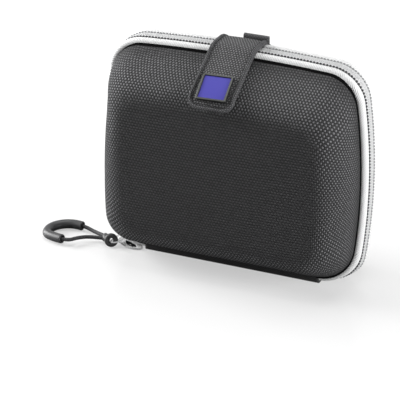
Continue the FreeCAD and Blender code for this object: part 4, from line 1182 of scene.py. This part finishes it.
cordEnd = {
    "ringMiddle": (-70.0, -12.2, 3.7), "ringTurn": 23, "ringLean": -20, "ringRadius": 2.4 * mm,
    "ringWire": 1.35 * mm, "rings": 36, "sides": 16, "sharp": 50,
    "collar": [(-76.4, -8.2, 2.45), (-75.6, -8.2, 2.45), (-74.4, -8.9, 2.6), (-73.4, -10.8, 3.0),
               (-72.5, -12.6, 3.4)],
    "collarRadii": (2.1, 2.4, 2.3, 1.8, 1.1),
    "wireLine": [(-70.3, -12.4, 3.1), (-69.6, -13.6, 3.1), (-67.3, -13.3, 3.2), (-65.7, -11.0, 3.2),
                 (-65.3, -6.0, 3.3), (-65.0, -1.2, 3.4), (-65.2, 0.9, 3.4), (-66.9, 1.5, 3.4),
                 (-68.4, 0.5, 3.4), (-69.2, -4.0, 3.3), (-70.3, -10.9, 3.1), (-70.3, -12.4, 3.1)],
    "wireRadius": 0.42 * mm,
}


def roundedRing(corners, radius, steps=5):
    # a closed outline with round corners, the same count for any corners
    corners = [np.array(c) * mm for c in corners]
    out = []
    for i, corner in enumerate(corners):
        out += cornerCurve(corners[i - 1], corner, corners[(i + 1) % len(corners)], radius, steps)
    return np.array(out)


def makeZipEnd(s):
    outer, inner = roundedRing(s["outer"], s["outerRadius"]), roundedRing(s["inner"], s["innerRadius"])
    edge, top = s["edge"], s["thickness"]
    step = unitRows(inner - outer) * edge
    tabRows = [(outer + step, top), (outer, top - edge), (outer, edge), (outer + step, 0),
               (inner - step, 0), (inner, edge), (inner, top - edge), (inner - step, top)]
    # a near-black sheet fills the tab's window: painted shadow
    middle = inner.mean(axis=0)
    core = middle + (inner - middle) * s["shadowSheetShare"]
    low, high = s["shadowSheetFoot"], top - s["shadowSheetDrop"]
    shadowSheetRows = [(core, low), (inner, low), (inner, high), (core, high)]
    for name, rows, material, slotName in (("zipEndTab", tabRows, pipingWeave, "zip_tape"),
                                           ("zipEndShadowSheet", shadowSheetRows, bindingWeave, "seam_binding")):
        points = []
        for ring, height in rows:
            rise = s["lowHeight"] + np.maximum(s["lowAt"] - ring[:, 0], 0) * s["slope"]
            points.append(np.column_stack([ring, rise + height]))
        points = np.array(points)
        uv = np.pad(points[:, :, :2], ((0, 1), (0, 1), (0, 0)), mode="wrap")
        mesh = gridMesh(name, points, uv, wrapRows=True, wrapCols=True)
        outwards(mesh)
        piece = newObject(name, mesh, material)
        sharpen(piece, s["sharp"])
        dress(piece, "lid", slotName)


def makeCordEnd(s):
    turn, lean = math.radians(s["ringTurn"]), math.radians(s["ringLean"])
    along = np.array((math.cos(turn), math.sin(turn), 0))
    ahead = np.array((math.sin(turn), -math.cos(turn), 0))
    up = np.array((0, 0, 1)) * math.cos(lean) + ahead * math.sin(lean)
    square = np.cross(up, along)
    rows = []
    for a in roundTurns(s["rings"]):
        out = along * math.cos(a) + up * math.sin(a)
        middle = np.array(s["ringMiddle"]) * mm + out * s["ringRadius"]
        rows.append([middle + s["ringWire"] * (out * math.cos(t) + square * math.sin(t))
                     for t in roundTurns(s["sides"])])
    ring = gridMesh("cordEnd", np.array(rows), wrapRows=True, wrapCols=True)
    profile = [(i, 0.0, radius * mm) for i, radius in enumerate(s["collarRadii"])]
    rows = tubeRows(np.array(s["collar"]) * mm, profile, s["sides"])
    collar = gridMesh("collar", rows, wrapCols=True, caps=True)
    work = bmesh.new()
    for mesh in (ring, collar):
        work.from_mesh(mesh)
    work.to_mesh(ring)
    work.free()
    outwards(ring)
    piece = newObject("cordEnd", ring, cordMoulding)
    dress(piece, "pull", "cord_moulding", "cord_ring")
    sharpen(piece, s["sharp"])
    wire = cordCurve("linkWire", s["wireLine"], s["wireRadius"], sliderEnamel)
    dress(wire, "pull", "link_wire", "pull_link")


makeZipEnd(zipEnd)
makeCordEnd(cordEnd)
print("zip end and cord end made")


# CAD pieces that keep their shape get their finish

keptNodes = {"slider_body": sliderEnamel, "slider_bail": sliderEnamel}

for node, finish in keptNodes.items():
    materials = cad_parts[node].data.materials
    materials.clear()
    materials.append(finish)
print("kept pieces finished")


# floor, world and lamps

stageLook = {"floor": "#f7f7f7", "floorInBounce": "#8c8c8c", "floorRoughness": 0.2, "ownWhite": 0.5,
             "fill": 0.11, "floorSize": 6.0}
lamps = {
    "topBox": {"place": (0.0, 0.22, 1.3), "aim": (0, 0.02, 0.05), "size": 0.9, "watts": 8.3},
    "leftBox": {"place": (-1.12, -0.06, 0.45), "aim": (0, 0, 0.06), "size": 0.75, "watts": 24.0},
    "rightBox": {"place": (1.15, -0.15, 0.26), "aim": (0, 0, 0.06), "size": 0.6, "watts": 16.0},
}


def makeFloor(s):
    # the floor looks white to the camera, and throws less light back at the case
    material, tree, shader = newMaterial("whiteSweep")
    path = addNode(tree, "ShaderNodeLightPath")
    colour = addNode(tree, "ShaderNodeMix", {"Factor": path.outputs["Is Camera Ray"],
                                             "A": hexColour(s["floorInBounce"]), "B": hexColour(s["floor"])},
                     data_type="RGBA")
    setInputs(tree, shader, {"Base Color": colour.outputs[2], "Roughness": s["floorRoughness"]})
    share = addNode(tree, "ShaderNodeMath", {0: path.outputs["Is Camera Ray"], 1: s["ownWhite"]},
                    operation="MULTIPLY")
    white = addNode(tree, "ShaderNodeEmission", {"Color": (1, 1, 1, 1), "Strength": 1.0})
    both = addNode(tree, "ShaderNodeMixShader", {0: share.outputs[0], 1: shader.outputs[0],
                                                 2: white.outputs[0]})
    setInputs(tree, tree.nodes["Material Output"], {"Surface": both.outputs[0]})
    work = bmesh.new()
    bmesh.ops.create_grid(work, x_segments=1, y_segments=1, size=s["floorSize"])
    mesh = bpy.data.meshes.new("floor")
    work.to_mesh(mesh)
    work.free()
    newObject("floor", mesh, material)


def makeWorld(s):
    # white where it is seen, mirrored or looked at through something, and a weak fill light otherwise
    world = bpy.data.worlds.new("studio")
    bpy.context.scene.world = world
    world.use_nodes = True
    tree = world.node_tree
    tree.nodes.clear()
    path = addNode(tree, "ShaderNodeLightPath")
    seen = addNode(tree, "ShaderNodeMath", {0: path.outputs["Is Camera Ray"],
                                            1: path.outputs["Is Glossy Ray"]}, operation="MAXIMUM")
    through = addNode(tree, "ShaderNodeMath", {0: seen.outputs[0], 1: path.outputs["Is Transmission Ray"]},
                      operation="MAXIMUM")
    strength = addNode(tree, "ShaderNodeMapRange", {0: through.outputs[0], 3: s["fill"], 4: 1.0})
    sky = addNode(tree, "ShaderNodeBackground", {"Color": (1, 1, 1, 1), "Strength": strength.outputs[0]})
    addNode(tree, "ShaderNodeOutputWorld", {0: sky.outputs[0]})


def makeLamp(name, s):
    data = bpy.data.lights.new(name, "AREA")
    data.size = s["size"]
    data.energy = s["watts"]
    way = Vector(s["aim"]) - Vector(s["place"])
    turn = way.to_track_quat("-Z", "Y").to_matrix().to_4x4()
    newObject(name, data).matrix_world = Matrix.Translation(s["place"]) @ turn


makeFloor(stageLook)
makeWorld(stageLook)
for name, lamp in lamps.items():
    makeLamp(name, lamp)
bpy.context.scene.view_settings.view_transform = "Standard"
print("stage lit")
